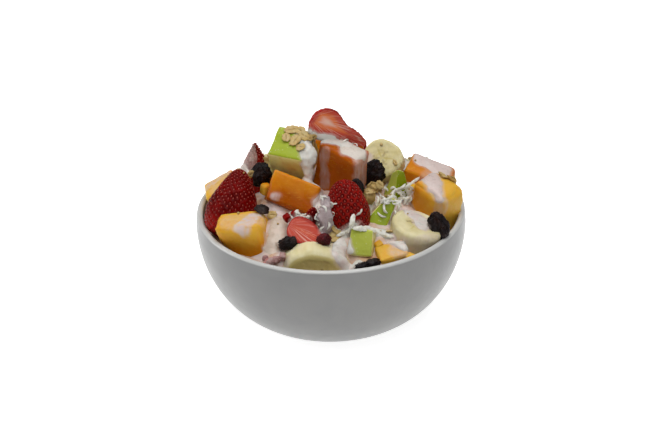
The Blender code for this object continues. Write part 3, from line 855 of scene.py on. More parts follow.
def berry_piece(name, form):
    """A strawberry with dimples and seeds, or the half of one, cut face towards -Y."""
    unit, faces = unit_ball(form["fineness"])
    half = form.get("half", False)
    seed = form["seed"]
    width, depth, length = form["size"]
    if half:
        depth = depth * 2
        form = dict(form, size=(width, depth, length))
    smooth = berry_surface(unit, form)
    normals = vertex_normals(smooth, faces)
    skin_area = 4 * math.pi * (width * depth * length / 8) ** (2 / 3)
    spots_unit = seed_directions(int(skin_area / (0.87 * SEED_SPACING**2)))
    drawn = np.random.default_rng(seed)
    spots_unit = spots_unit + drawn.normal(0, 0.018, spots_unit.shape)
    spots_unit /= np.linalg.norm(spots_unit, axis=1, keepdims=True)
    spots = berry_surface(spots_unit, form)
    if half:
        spots = spots[spots[:, 1] > 0.8]
    tree_of_spots = KDTree(len(spots))
    for index, spot in enumerate(spots):
        tree_of_spots.insert(spot, index)
    tree_of_spots.balance()
    away = np.array([tree_of_spots.find(point)[2] for point in smooth])
    dimple = np.exp(-((away / DIMPLE_RADIUS) ** 2))
    cut = np.zeros(len(smooth))
    points = smooth - normals * (dimple * DIMPLE_DEPTH)[:, None]
    points += normals * (SWELL_BETWEEN * np.clip((away - 1.0) / 0.8, 0, 1))[:, None]
    heart = np.zeros(len(smooth))
    fan = np.zeros_like(smooth)
    if half:
        flat = unit[:, 1] < 0.02
        outer = np.sqrt(np.clip(1 - (unit[:, 2]) ** 2, 1e-6, 1))
        across = unit[:, 0] / outer
        heart = np.clip(np.abs(across - form.get("heart_at", 0.0)), 0, HEART_EDGE)
        heart += form.get("red_tip", 0.0) * np.clip(unit[:, 2] + 0.5, 0, 1)
        heart = np.clip(heart, 0, HEART_EDGE)
        heart = np.maximum.reduce([heart, np.clip(np.abs(across), 0, 1) ** 3, np.abs(unit[:, 2]) ** 5])
        heart = form["redness"] + (1 - form["redness"]) * heart
        relief = 0.25 * np.cos(heart * 2.6) - 0.25
        points[flat] = smooth[flat]
        points[flat, 1] = relief[flat]
        cut[flat] = 1.0
        dimple[flat] = 0
        rise = np.arctan2(np.abs(smooth[:, 0]), smooth[:, 2] + length * 0.55)
        spread_out = rise * 22 * np.sign(smooth[:, 0])
        along_ray = np.hypot(smooth[:, 0], smooth[:, 2]) * 0.12
        fan = np.column_stack((spread_out, along_ray, np.full(len(unit), seed)))
        points[:, 1] -= depth / 4
    parts = [(points, faces)]
    for spot in spots:
        out = Vector(spot / np.array([width * width, depth * depth, length * length]) * length)
        out.z += 0.18 * out.length
        out.normalize()
        upright = out.to_track_quat("Z", "Y").to_matrix()
        along = Vector((0, 0, 1)) - out * out.z
        if along.length > 1e-3:
            along.normalize()
            upright = Matrix((along.cross(out), along, out)).transposed()
        size = np.array(SEED_SIZE) * drawn.uniform(0.85, 1.15)
        sunk = np.array(out) * (DIMPLE_DEPTH * SEED_SUNK)
        grains = (grain_points * size) @ np.array(upright).T + spot - sunk
        if half:
            grains[:, 1] -= depth / 4
        parts.append((grains, grain_faces))
    whole, all_faces = joined(parts)
    piece = mesh_piece(name, whole * MM, all_faces, 75)
    # paler shoulders, and a painted highlight on the skin between the dimples
    pale_shoulder_and_highlight = np.clip(-unit[:, 2] * 1.6 - 0.5, 0, 1)
    pale_shoulder_and_highlight = np.maximum(pale_shoulder_and_highlight, form.get("net_highlight", 0.0) * np.clip((away - 0.95) / 0.45, 0, 1))
    added = len(whole) - len(points)
    for layer, values in (("dimple", dimple), ("cut", cut), ("heart", heart), ("pale_shoulder_and_highlight", pale_shoulder_and_highlight)):
        paint(piece.data, layer, np.concatenate((values, np.zeros(added))))
    layer = piece.data.attributes.new("fan", "FLOAT_VECTOR", "POINT")
    fan = np.concatenate((fan, np.zeros((added, 3))))
    layer.data.foreach_set("vector", fan.astype(np.float32).ravel())
    slots = np.zeros(len(piece.data.polygons), np.int32)
    slots[len(faces):] = 1
    return piece, slots


# shoulder is how far it narrows to its tip, net_highlight how much painted highlight lies between the
# dimples. On a
# half, redness is that of the whole cut, heart_at where its heart lies, red_tip how red it ends
berries = {
    "strawberry_left": dict(size=(38, 30, 39), turn=(-24, 14, 0), shoulder=0.6, seed=41, fineness=7),
    "strawberry_centre": dict(
        size=(27.5, 23, 33), turn=(-8, -8, 0), shoulder=0.3, net_highlight=0.6, seed=42, fineness=7
    ),
    "strawberry_between": dict(size=(9, 8, 12), turn=(10, 10, 0), shoulder=0.42, seed=50, fineness=6),
    "strawberry_tip_back": dict(size=(31, 15, 30), turn=(-8, 4, 20), shoulder=0.85, seed=43, fineness=6),
    "strawberry_rim_bit": dict(size=(6, 6, 11), turn=(0, 80, 20), shoulder=0.42, seed=44, fineness=5),
    "strawberry_back": dict(size=(25, 23, 31), turn=(-38, 20, 0), shoulder=0.42, seed=45, fineness=6),
    "strawberry_back_right": dict(size=(21, 20, 26), turn=(-50, 40, 0), shoulder=0.42, seed=46, fineness=6),
    "strawberry_crown": dict(
        size=(27.5, 10, 36), turn=(-12, 124, 0), shoulder=0.75, waist=0.33, seed=47, fineness=7, half=True,
        redness=0.0, red_tip=0.6, heart_at=-0.2,
    ),
    "strawberry_cut": dict(
        size=(17, 9, 19), turn=(-121, 44, -131), shoulder=0.42, seed=48, fineness=6, half=True, redness=0.55
    ),
    "strawberry_back_rim": dict(
        size=(23, 11, 26), turn=(-68, 0, 20), shoulder=0.42, seed=49, fineness=6, half=True, redness=0.1
    ),
}

for cad_node, form in berries.items():
    half = form.get("half", False)
    berry, slots = berry_piece(cad_node + ("_half" if half else "_berry"), form)
    seat(berry, cad_node, form["turn"])
    stands_for(berry, cad_node, berry_skin)
    berry.data.materials.append(berry_seed)
    berry.data.polygons.foreach_set("material_index", slots)


# ----------------------------------------------------------------------- the dried fruit
# Plump raisins and one dried cranberry, soft and shrunken into deep wrinkles. They are almost
# black, brown in patches, lighter on the raised folds and darker in the creases.

RAISIN_BLACK = (0.006, 0.003, 0.003, 1.0)
RAISIN_BROWN = (0.020, 0.007, 0.005, 1.0)
RAISIN_RAISED_FOLD = (0.020, 0.019, 0.024, 1.0)
CRANBERRY_DARK = (0.045, 0.004, 0.006, 1.0)
CRANBERRY_RED = (0.14, 0.010, 0.012, 1.0)


def dried_material(name, deep, warm, raised_tone):
    material, tree, shader = new_material(name, Specular_IOR_Level=0.15)
    colour = mix(tree, spread(tree, mottle(tree, 200, detail=3), 0.4, 0.7), deep, warm)
    # lighter on the raised folds and darker in the creases
    raised = spread(tree, painted(tree, "fold"), 0.55, 0.95, 0.0, 0.4)
    finish_surface(shader, under_film(tree, mix(tree, raised, colour, raised_tone)), 1500, 0.5, 0.28, 0.08)
    return material


raisin_skin = dried_material("raisin_skin", RAISIN_BLACK, RAISIN_BROWN, RAISIN_RAISED_FOLD)
cranberry_skin = dried_material("cranberry_skin", CRANBERRY_DARK, CRANBERRY_RED, CRANBERRY_RED)


def wrinkled_piece(name, size, seed, fineness):
    """An uneven ball whose skin has sunk into branching folds along its length."""
    unit, faces = unit_ball(fineness)
    offset = Vector((seed * 1.9, seed * 0.7, -seed * 1.3))
    stretch = [1.0 / max(0.6, side / min(size)) for side in size]
    points = []
    folds = []
    for direction in unit:
        at = Vector(direction)
        swell = 1 + 0.25 * noise.noise(at * 1.7 + Vector((seed, seed * 0.7, -seed)))
        bent = Vector([at[i] * stretch[i] for i in range(3)])
        wander = (noise.noise(at * 2 + offset), noise.noise(at * 2 - offset), noise.noise(at * 2.3 + offset))
        bent += 0.35 * Vector(wander)
        big = 1 - abs(noise.noise(bent * 2.6 + offset)) * 2.6
        small = 1 - abs(noise.noise(bent * 6.5 - offset)) * 2.4
        fold = max(0.0, big) * 0.65 + max(0.0, small) * 0.35
        folds.append(1 - fold)
        sink = 0.13 * max(0.0, big) ** 2 + 0.06 * max(0.0, small) ** 2
        points.append([at[i] * size[i] / 2 * (swell - sink) * MM for i in range(3)])
    piece = mesh_piece(name, points, faces, 80)
    paint(piece.data, "fold", folds)
    return piece


raisins = {
    "raisin_left": dict(size=(11, 10, 14), turn=(0, 8, 30), seed=1, fineness=6),
    "raisin_left_low": dict(size=(8, 6, 5), turn=(10, 15, 0), seed=2),
    "raisin_front_left": dict(size=(12, 8, 7), turn=(0, -12, 10), seed=3),
    "cranberry_front": dict(size=(8, 7, 7), turn=(0, 20, 0), seed=4),
    "raisin_centre": dict(size=(6, 6, 9), turn=(0, -25, 0), seed=5),
    "raisin_front_a": dict(size=(8, 6, 5), turn=(0, -15, 10), seed=6),
    "raisin_front_b": dict(size=(9, 6, 5), turn=(0, 5, 25), seed=7),
    "raisin_big": dict(size=(14, 10, 16), turn=(0, 10, 20), seed=8, fineness=6),
    "raisin_right": dict(size=(12, 10, 17), turn=(0, -18, 0), seed=9, fineness=6),
    "raisin_back_left": dict(size=(12, 9, 9), turn=(0, -20, 40), seed=13),
    "raisin_back_rim": dict(size=(12, 9, 8), turn=(0, 20, -30), seed=14),
    "raisin_back": dict(size=(10, 8, 8), turn=(-30, 0, 10), seed=15),
    "raisin_back_right": dict(size=(11, 9, 8), turn=(0, 24, 50), seed=16),
}

for cad_node, form in raisins.items():
    dried = wrinkled_piece(cad_node + "_dried", form["size"], form["seed"], form.get("fineness", 5))
    seat(dried, cad_node, form["turn"])
    skin = cranberry_skin if "cranberry" in cad_node else raisin_skin
    stands_for(dried, cad_node, skin)


# -------------------------------------------------------------------------------- the oats
# Rolled oats toasted with a little honey: thin oval flakes with a crease down the middle and
# ragged edges, golden with darker rims. Some have baked together into small clusters.

OAT_GOLD = (0.54, 0.37, 0.115, 1.0)
OAT_PALE = (0.58, 0.44, 0.19, 1.0)
OAT_TOASTED = (0.27, 0.14, 0.03, 1.0)

toasted, tree, shader = translucent("toasted_oats", 0.5, 0.1, (1.0, 0.6, 0.25), 1.5)
colour = mix(tree, spread(tree, mottle(tree, 260, detail=4), 0.35, 0.68), OAT_GOLD, OAT_PALE)
colour = mix(tree, painted(tree, "toast"), colour, OAT_TOASTED)
finish_surface(shader, colour, 1600, 0.6, 0.38, 0.18, 1.0)

FLAKE_RINGS = 7
FLAKE_STEPS = 26


def flake(long, wide, thick, seed):
    """(points, faces, toast) of one rolled oat, lying flat, its crease along X."""
    offset = Vector((seed * 1.37, -seed * 0.71, seed))
    points = []
    toast = []
    for side in (1, -1):
        for ring in range(FLAKE_RINGS + 1):
            share = ring / FLAKE_RINGS
            for step in range(FLAKE_STEPS):
                turn = math.tau * step / FLAKE_STEPS
                around = Vector((math.cos(turn), math.sin(turn), 0))
                ragged = 1 + share * 0.26 * noise.noise(around * 2.4 + offset)
                x = long / 2 * share * ragged * math.cos(turn)
                y = wide / 2 * share * ragged * math.sin(turn)
                crease = math.exp(-((y / (wide * 0.055)) ** 2))
                crease *= max(0.0, 1 - 1.1 * (x / (long / 2)) ** 2)
                cup = 0.05 * wide * (y / (wide / 2)) ** 2 + 0.04 * long * (x / (long / 2)) ** 2
                body = thick / 2 * (1 - share**6) * (1 - 0.3 * crease)
                dent = 0.28 * noise.noise(Vector((x, y, 0)) / 1.5 + offset) * (1 if side > 0 else 0.5)
                points.append((x, y, cup + side * body + dent - crease * 0.2 * side))
                browned = max(0, noise.noise(Vector((x, y, 5)) / 1.6 + offset))
                toast.append(min(1.0, 0.5 * crease + 0.35 * share**8 + 0.35 * browned))
    faces = []
    rows = FLAKE_RINGS + 1
    for side in range(2):
        for ring in range(FLAKE_RINGS):
            for step in range(FLAKE_STEPS):
                after = (step + 1) % FLAKE_STEPS
                base = (side * rows + ring) * FLAKE_STEPS
                beyond = base + FLAKE_STEPS
                quad = (base + step, beyond + step, beyond + after, base + after)
                faces.append(quad if side == 0 else quad[::-1])
    top_rim = FLAKE_RINGS * FLAKE_STEPS
    bottom_rim = (rows + FLAKE_RINGS) * FLAKE_STEPS
    for step in range(FLAKE_STEPS):
        after = (step + 1) % FLAKE_STEPS
        faces.append((top_rim + step, bottom_rim + step, bottom_rim + after, top_rim + after))
    return np.array(points), faces, np.array(toast)


def crumb(radius, seed):
    unit, faces = unit_ball(3)
    offset = Vector((seed, seed * 0.3, -seed))
    swell = np.array([1 + 0.45 * noise.noise(Vector(point) * 1.9 + offset) for point in unit])
    return unit * radius * swell[:, None], faces, np.clip(swell * 1.2 - 1.0, 0, 1)


def oat_cluster(name, size, seed):
    """A knot of flakes and crumbs baked together, filling a box of that size."""
    drawn = random.Random(seed)
    parts = []
    core, core_faces, core_toast = crumb(1.0, seed)
    parts.append((core * np.array(size) * 0.40, core_faces, core_toast + 0.3))
    for number in range(11):
        direction = Vector([drawn.gauss(0, 1) for _ in range(3)]).normalized()
        centre = np.array(direction) * np.array(size) * 0.36
        if number < 6:
            made = flake(drawn.uniform(5.0, 6.5), drawn.uniform(3.6, 4.6), 0.9, seed * 20 + number)
            tilt = direction.to_track_quat("Z", "Y").to_matrix()
            tilt = tilt @ Matrix.Rotation(drawn.uniform(0, 6), 3, "Z")
        else:
            made = crumb(drawn.uniform(0.9, 1.5), seed * 20 + number)
            tilt = Matrix.Identity(3)
        points = made[0] @ np.array(tilt).T + centre
        parts.append((points, made[1], made[2]))
    return join_parts(name, parts, toasted)


clusters = {
    "oats_centre": dict(size=(9, 8, 11), seed=10),
    "oats_upper": dict(size=(9, 7, 7), seed=11),
    "oats_right": dict(size=(10, 7, 6), seed=12),
}

for cad_node, form in clusters.items():
    cluster = oat_cluster(cad_node + "_cluster", form["size"], form["seed"])
    seat(cluster, cad_node, (0, 0, 0))
    stands_for(cluster, cad_node, toasted)


# ------------------------------------------------------------------------ the small bits
# Offcuts no bigger than a pea: cubes of melon and shreds of strawberry that fell in among the
# large pieces when the salad was stirred.


def beside(cad_node, offset):
    """A point by a piece, in millimetres: the middle of the piece, moved by offset."""
    low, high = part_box(cad_node)
    return np.array((low + high) / 2) / MM + np.array(offset, float)


def bit_mesh(side, at, seed):
    """(points, faces, painted values) of one uneven cube with soft edges."""
    drawn = random.Random(seed)
    size = [side * drawn.uniform(0.75, 1.25) for _ in range(3)]
    bm = block_mesh(size, 0.1, side * 0.16, seed, cuts=9, belly=(0.2, 0.2, 0.2), dent=side * 0.12)
    tilt = Euler([drawn.uniform(0, 6.3) for _ in range(3)]).to_matrix()
    points = np.array([tilt @ vert.co for vert in bm.verts]) / MM + at
    faces = [[vert.index for vert in face.verts] for face in bm.faces]
    bm.free()
    return points, faces, np.full(len(points), drawn.uniform(-0.15, 0.25))


def by_piece(*marks):
    """Rows of a table: a name is a piece, and the marks after it start with a spot from its middle."""
    rows = []
    for mark in marks:
        if isinstance(mark, str):
            cad_node = mark
        else:
            rows.append((beside(cad_node, mark[:3]), *mark[3:]))
    return rows


# By the piece they lie by: across, towards the back and up from its middle, and the size
melon_bits = by_piece(
    "melon_front", (-7, 3, 5, 5), (9, -5, 2, 4), "apple_right", (9, 3, -4, 3.5), "strawberry_tip_back",
    (-3, -5, -1, 3), "banana_right", (-13, -4, 3, 3.4), "melon_back_rim", (-14, 0, 6, 4.2),
    "strawberry_back", (-12, 8, 2, 4.6), "melon_left_back", (4, 12, 2, 3.8), "banana_back_rim",
    (12, 6, -2, 4.4), "melon_back_high", (-9, 6, -4, 3.6), "apple_back_right", (0, 9, 0, 4),
)
berry_bits = by_piece(
    "strawberry_cut", (-9, 7, 4, 4.2), (-5, 9, 5, 3.2), (9, -3, -3, 3.6), "strawberry_rim_bit",
    (5, 3, 1, 3.8), (-4, 2, 1, 3), "apple_back_left", (12, 4, 2, 3.4), "raisin_back", (6, 4, 1, 4),
    "melon_back_rim", (13, 2, 4, 3.2),
)

for name, bits, material, slot, layer in (
    ("melon_bits", melon_bits, melon_flesh, "melon_flesh", "ripe_and_shaded"),
    ("strawberry_bits", berry_bits, berry_skin, "strawberry", "dimple"),
):
    made = [bit_mesh(side, at, 60 + count) for count, (at, side) in enumerate(bits)]
    bits_piece = join_parts(name, made, material, layer)
    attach(bits_piece, "root")
    fruit.append(bits_piece)


# --------------------------------------------------------------------- the poured yogurt
# Runny pink and white yogurt, spooned over the heap last. It lies thick on the tops, runs down the
# sides in tongues, bridges the gaps between pieces, and leaves a thin film where it has run off.

COAT_GRAIN = 0.62  # spacing of the points of the poured yogurt
COAT_UNDER = 0.8  # how far it reaches into the fruit below it
COAT_WANDER = 1.5
WANDER_SEED = 5  # the noise vectors are drawn from it, so that every run gives the same edges
COAT_EDGE = -0.35
NO_YOGURT = -9.0
POUR_MARGIN = 3.5  # nothing farther than this beyond a pour can be reached by it
STREAM_MARGIN = 1.5
STREAM_SMOOTHING = 10
FLOW_SMOOTHING = 14
FILM_BEYOND = 1.4  # how much wider than a pour its film is
FILM_DENSITY = 0.85
FILM_ON_RAISINS = 0.4  # yogurt runs off their waxy skin
STREAM_WOBBLE = 1.2
STREAM_STEP = 0.25  # of the stream's half width
LUMPS_IN_COAT = 0.22
LUMPS_IN_STREAM = 1.0

# Streams too thick to be a coat, that lean on the pieces: spots of the middle line, by piece, and
# half the width there
streams = [by_piece(*marks) for marks in [
    ("apple_crown", (7.5, -9, 9, 2), (8.4, -11.5, 7, 3.2), (8.6, -14, 4, 3.6), (8, -15, -1, 2.5),
     (7.5, -15, -7, 2), (7.8, -16.5, -12, 2.8)),
    ("strawberry_centre", (-12.5, -6, 10.5, 1.7), (-12, -9.5, 7, 2.5), (-12.2, -11.5, 2.5, 3.3),
     (-11.4, -12.5, -2.5, 3), (-13.5, -13.5, -6.5, 2)),
    ("strawberry_centre", (-14.5, -9, 3, 1.8), (-16.5, -10, -2, 1.6)),
    ("strawberry_centre", (-11, -12, 4, 1.6), (-7.5, -13.5, 3, 1.2)),
    ("strawberry_between", (-9, -4, 0.5, 1.5), (-6, -5, 1.5, 1.9), (-3.5, -5, 0.5, 1.4)),
    ("melon_crown", (5, 7, 11, 3.2), (9, 5, 9, 3)),
    ("melon_back_high", (-2, 6, 5, 3.4), (-2, 10, -2, 3.8)),
    ("strawberry_back", (-8, 6, 7, 3.4), (-9, 11, 1, 3.6)),
    ("melon_back_rim", (-9, -4, 6, 3.6), (-11, 1, 1, 3.4)),
]]

# Each pour: its whiteness, its thickness, and its middle line as above. Whiteness 0 is pink and 1
# is white; it falls to -1 where the yogurt lies in shade, painted grey as painted shade, and rises to 2
# where peach has stained it
pours = [(white, depth, by_piece(*marks)) for white, depth, *marks in [
    (1, 0.8, "apple_crown", (0, 4, 13, 2.4), (4, 2, 13, 3.2), (7, -5, 13.5, 4.2), (8.3, -9.5, 9, 5.2),
     (8.6, -14, 5, 5.3), (8, -15, -1, 3.8), (7.5, -15, -7, 3.3)),
    (0.6, 0.8, "apple_crown", (7.8, -16.5, -12, 4.2), "melon_mid_left", (8, 5, 8, 3.2), (13, 3, 5, 3.2)),
    (1, 0.6, "strawberry_between", (-9, -4, 0.5, 3), (-6, -5, 1.5, 3.4), (-3.5, -5, 0.5, 2.8)),
    (0.9, 1, "strawberry_crown", (-12, -4, -2.5, 2.2), (-6, -3.5, -5.5, 2.4), (-1, -4, -6.5, 2.8),
     (5, -5.5, -9, 3), (9, -5, -12, 2.6)),
    (1.4, 0.5, "melon_crown", (2, 2, 14.5, 3.4), (6, -4, 14, 5.2), (10, -7, 12.5, 4.6)),
    (0.4, 1, "melon_mid_left", (9, 6, 3, 4), (14, 6, -3, 4.5), "strawberry_centre", (-13, 3, 0, 6),
     "strawberry_between", (7, 1, -3, 5.5)),
    # this pour lies in shade: its whiteness of -1 is painted shade
    (-1, 0.8, "strawberry_centre", (-12.5, -6, 10.5, 3.2), (-12, -9.5, 7, 4.2), (-12.2, -11.5, 2.5, 5),
     (-11.4, -12.5, -2.5, 4.8), (-13.5, -13.5, -6.5, 3.8)),
    (1.55, 0.7, "raisin_left_low", (9, -3, -5, 4.5), "raisin_front_left", (-5, 6, 1, 5), (-9, 0, -3, 4)),
    (0.7, 0.8, "strawberry_tip_back", (-7, -3, 3, 2.6), (-5, -4, 1, 2)),
    (0.1, 0.5, "melon_right_back", (-2, 4, 10, 5.5), (7, -1, 8, 6.5), (9, -9, 4, 4)),
    (0.1, 0.6, "melon_right", (-4, 4, 15, 6), (0, -7, 14, 4.2), (2, -13, 11, 2.8)),
    (0.4, 0.35, "banana_right", (-2, 8, 9, 4), (3, 3, 8, 4.5), (4, -5, 6, 3)),
    (0.5, 0.8, "banana_right", (-12, -8, 3, 2.6), "melon_front", (-1, 4, 6, 2.6), (7, -1, 6, 2.4)),
    (0.9, 0.8, "apple_front", (-8.5, -3, 2, 2.8), (-8, -8, -1, 3.6), (-6.5, -12, -4.5, 4),
     (-1, -13.5, -7, 3.4)),
    (0.9, 0.9, "apple_front", (-9, 6, 3, 3), (-1, 5, 8, 3.2), (8, 9, 3, 4), "banana_right", (-13, -6, 3, 3)),
    (0.5, 0.8, "cranberry_front", (8, 3, -2, 4), "banana_front", (14, -6, 12, 5), (17, -8, 8, 4)),
    # the far side
    (0.8, 1.1, "melon_back_high", (-3, 4, 8, 6), (-2, 9, 0, 5), "strawberry_back", (0, 2, 12, 5),
     (2, 10, 4, 4)),
    (0.5, 1, "melon_back", (-6, 2, 12, 6), (-8, 10, 6, 5), "raisin_back_left", (2, 10, -2, 5)),
    (0.8, 1, "melon_back_rim", (-4, 0, 10, 5), (-2, 8, 5, 4.5)),
    (0.4, 0.8, "banana_back_rim", (-3, 2, 9, 6), (4, 9, 3, 5)),
    (0.6, 0.8, "apple_back_left", (3, 2, 10, 5), (0, 9, 2, 4)),
    (0.5, 0.8, "melon_left_back", (2, 4, 8, 4.5), (-2, 8, 2, 3.5)),
    (0.7, 0.8, "strawberry_back_right", (2, 0, 8, 4), "raisin_back_right", (6, 6, -3, 6)),
]]

# Film alone, with nothing thick enough to stand out: how dense it is, then the same
films = [(density, by_piece(*marks)) for density, *marks in [
    (0.45, "melon_crown", (-8.8, -2.4, 12, 3.2), (-9.2, -2.4, -9, 3)),
    (0.55, "melon_crown", (11, -8.5, 10, 6.5), (11, -8.5, -11, 6)),
    (0.65, "strawberry_tip_back", (-1, 0, 12, 3), (-3, -3, 4, 4.5)),
    (0.6, "melon_left_rim", (-1, 6, 11, 4), (-9, 3, 6, 3.5), (-12, -1, 4, 3)),
    (0.75, "banana_back", (-9, -6, 8, 5), (-9, -6, -4, 4)),
    (0.45, "melon_right", (3, -14, 9, 4), (0, -16, -4, 3.5)),
    (0.75, "melon_right", (-15, -3, 0, 3.6), (-14, -6, -10, 4.2)),
    (1.05, "melon_front_left", (5, 5, 12, 4.5), (-1, -5, 12, 5.5)),
    (0.3, "melon_front_left", (-8, 2, 12, 7), (8, 2, 14, 7)),
    (0.3, "melon_left_rim", (0, -2, 6, 12)),
    (0.4, "banana_right", (-6, -12, 2, 5), (9, -11, 2, 6)),
    (0.55, "banana_right", (-1, 8, 9, 6), (4, -4, 6, 5)),
    (0.5, "strawberry_rim_bit", (-2, -1, 2, 6), (4, 1, 2, 6)),
    (0.45, "melon_right_back", (0, -8, 4, 6)),
    (0.8, "melon_mid_left", (-9, -8.5, 4.5, 4.2)),
    (0.25, "melon_mid_left", (4, -9, -7, 3.5), (12, -6, -7, 3)),
    (0.5, "melon_front_left", (13, -6, 8, 3.5), (14, -8, -4, 3)),
    (0.5, "strawberry_crown", (4, -6, -10, 4), (14, -5, -14, 3)),
    (0.5, "melon_front", (3, -2, 5, 6)),
    (0.35, "melon_back", (4, 8, 4, 8)),
    (0.35, "melon_back_rim", (4, 8, 0, 7)),
]]


def along_run(run, points, wider=0.0):
    """How far inside a run of yogurt each point lies: 1 on its middle line, 0 at its edge."""
    inside = np.full(len(points), NO_YOGURT)
    for (start, reach_here), (end, reach_there) in zip(run, run[1:] or run):
        line = end - start
        share = np.clip((points - start) @ line / max(line @ line, 1e-6), 0, 1)
        away = np.linalg.norm(points - start - share[:, None] * line, axis=1)
        reach = reach_here + wider + (reach_there - reach_here) * share
        inside = np.maximum(inside, 1 - (away / reach) ** 2.6)
    return inside


def wandering(points, size, seed):
    """Points pushed about by soft noise, so that nothing laid out by them has a ruled edge."""
    offset = Vector((seed, -seed, seed / 2))
    return points + size * np.array([noise.noise_vector(Vector(point) / 5.5 + offset) for point in points])


def poured(points):
    """(thickness in millimetres, whiteness) of the yogurt at each point."""
    moved = wandering(points, COAT_WANDER, 3)
    thickness = np.full(len(points), NO_YOGURT)
    white = np.zeros(len(points))
    for whiteness, depth, run in pours:
        inside = along_run(run, moved)
        here = np.where(inside > 0, depth * inside, inside)
        white = np.where(here > thickness, whiteness, white)
        thickness = np.maximum(thickness, here)
    return thickness, white


def surface_of(piece):
    """(points in mm, faces) of a piece."""
    return points_of(piece.data) / MM, [list(face.vertices) for face in piece.data.polygons]


def one_skin():
    """(points in mm, faces) of the outside of the fruit, the bed and the streams, as one closed skin."""
    parts = [surface_of(piece) for piece in fruit + [bed]]
    ball, ball_faces = unit_ball(4)
    for run in streams:
        for (start, reach_here), (end, reach_there) in zip(run, run[1:]):
            steps = math.ceil(np.linalg.norm(end - start) / (STREAM_STEP * min(reach_here, reach_there)))
            for step in range(steps + 1):
                share = step / steps
                middle = start + (end - start) * share
                swell = noise.noise_vector(Vector(middle) / 3.5)
                reach = (reach_here + (reach_there - reach_here) * share) * (1 + 0.3 * swell.x)
                middle = middle + STREAM_WOBBLE * np.array(swell)
                parts.append((ball * reach + middle, ball_faces))
    points, faces = joined(parts)
    heap = mesh_piece("skin", points * MM, faces, 180)
    remesh = heap.modifiers.new("Skin", "REMESH")
    remesh.mode = "VOXEL"
    remesh.voxel_size = COAT_GRAIN * MM
    applied(heap)
    skin = points_of(heap.data) / MM
    corners = np.empty(len(heap.data.loops), np.int32)
    heap.data.loops.foreach_get("vertex_index", corners)
    bpy.data.objects.remove(heap)
    return skin, corners.reshape(-1, 4)


noise.seed_set(WANDER_SEED)
skin_points, skin_faces = one_skin()
reached = np.zeros(len(skin_points), bool)
for _, _, run in pours:
    reached |= along_run(run, skin_points, POUR_MARGIN) > 0
thickness = np.full(len(skin_points), NO_YOGURT)
white = np.zeros(len(skin_points))
thickness[reached], white[reached] = poured(skin_points[reached])
kept_faces = skin_faces[(thickness[skin_faces] > COAT_EDGE).any(axis=1)]
used, kept_faces = np.unique(kept_faces, return_inverse=True)
kept_faces = kept_faces.reshape(-1, 4)
base, white = skin_points[used], white[used]
thickness = np.maximum(thickness[used], COAT_EDGE * 1.6)
triangles = np.concatenate((kept_faces[:, [0, 1, 2]], kept_faces[:, [0, 2, 3]]))
edges = np.concatenate([kept_faces[:, [corner, (corner + 1) % 4]] for corner in range(4)])
ends = np.concatenate((edges, edges[:, ::-1]))
neighbours = np.bincount(ends[:, 0], minlength=len(base))


def averaged(values):
    total = np.zeros_like(values)
    np.add.at(total, ends[:, 0], values[ends[:, 1]])
    return total / neighbours.reshape(-1, *[1] * (values.ndim - 1))


# The streams are smoothed as a whole
loose = np.zeros(len(base))
for run in streams:
    loose = np.maximum(loose, np.clip(along_run(run, base, STREAM_MARGIN) * 2, 0, 1))
for _ in range(STREAM_SMOOTHING):
    base = base + (averaged(base) - base) * loose[:, None]

# Yogurt fills creases and rounds them off, but never draws back from an edge it has run over
out = vertex_normals(base, triangles)
for _ in range(4):
    out = averaged(out)
out /= np.linalg.norm(out, axis=1, keepdims=True)
flowed = base.copy()
for _ in range(FLOW_SMOOTHING):
    flowed = averaged(flowed)
filled = np.clip(((flowed - base) * out).sum(axis=1), 0, 2.5) * np.clip(thickness * 2, 0, 1)
lumps = [noise.noise(Vector(point) / 2.6) + 0.5 * noise.noise(Vector(point) / 1.1) for point in base]
lumps = np.array(lumps) * (LUMPS_IN_COAT + LUMPS_IN_STREAM * loose)
rise = thickness + filled + lumps * np.clip(thickness, 0, 1)
top = base + out * rise[:, None]
under = base - out * COAT_UNDER
count = len(base)
open_edges = {}
for one, other in edges.tolist():
    open_edges[(one, other)] = open_edges.get((one, other), 0) + 1
borders = [pair for pair in open_edges if (pair[1], pair[0]) not in open_edges]
coat_faces = kept_faces.tolist() + (kept_faces[:, ::-1] + count).tolist()
coat_faces += [(other, one, one + count, other + count) for one, other in borders]
poured_yogurt = mesh_piece("poured_yogurt", np.concatenate((top, under)) * MM, coat_faces, 180)
paint(poured_yogurt.data, "white", np.concatenate((white, white)))

runny, tree, shader = translucent("poured_yogurt", 0.5, 0.3, (1.0, 0.75, 0.7), 2.5)
whiteness = painted(tree, "white")
streak = cloudy(tree, whiteness, 170, 1.6)
colour = mix(tree, spread(tree, streak, 0.1, 0.9), YOGURT_PINK, YOGURT_WHITE)
# painted shade: a whiteness below 0 greys the yogurt where it lies in shade
colour = mix(tree, spread(tree, whiteness, -1.0, -0.2, 1.0, 0.0), colour, YOGURT_PAINTED_SHADE)
feed(
    shader,
    Base_Color=mix(tree, spread(tree, whiteness, 1.1, 2.0), colour, YOGURT_PEACH),
    Roughness=spread(tree, mottle(tree, 300), 0.3, 0.7, 0.22, 0.40),
    Normal=bump(tree, mottle(tree, 900, detail=2), 0.00010),
)
poured_yogurt.data.materials.append(runny)
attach(poured_yogurt, "root")

# The film that the yogurt leaves round its edges, painted on to every piece of fruit
for piece in fruit:
    own = points_of(piece.data) / MM
    moved = wandering(own, COAT_WANDER, 3)
    film = np.zeros(len(own))
    for _, _, run in pours:
        inside = along_run(run, moved, FILM_BEYOND)
        film = np.maximum(film, FILM_DENSITY * np.clip(inside * 1.5, 0, 1))
    for density, run in films:
        film = np.maximum(film, density * np.clip(along_run(run, moved) * 1.8, 0, 1))
    if piece.name.startswith("raisin"):
        film = film * FILM_ON_RAISINS
    paint(piece.data, "film", film)


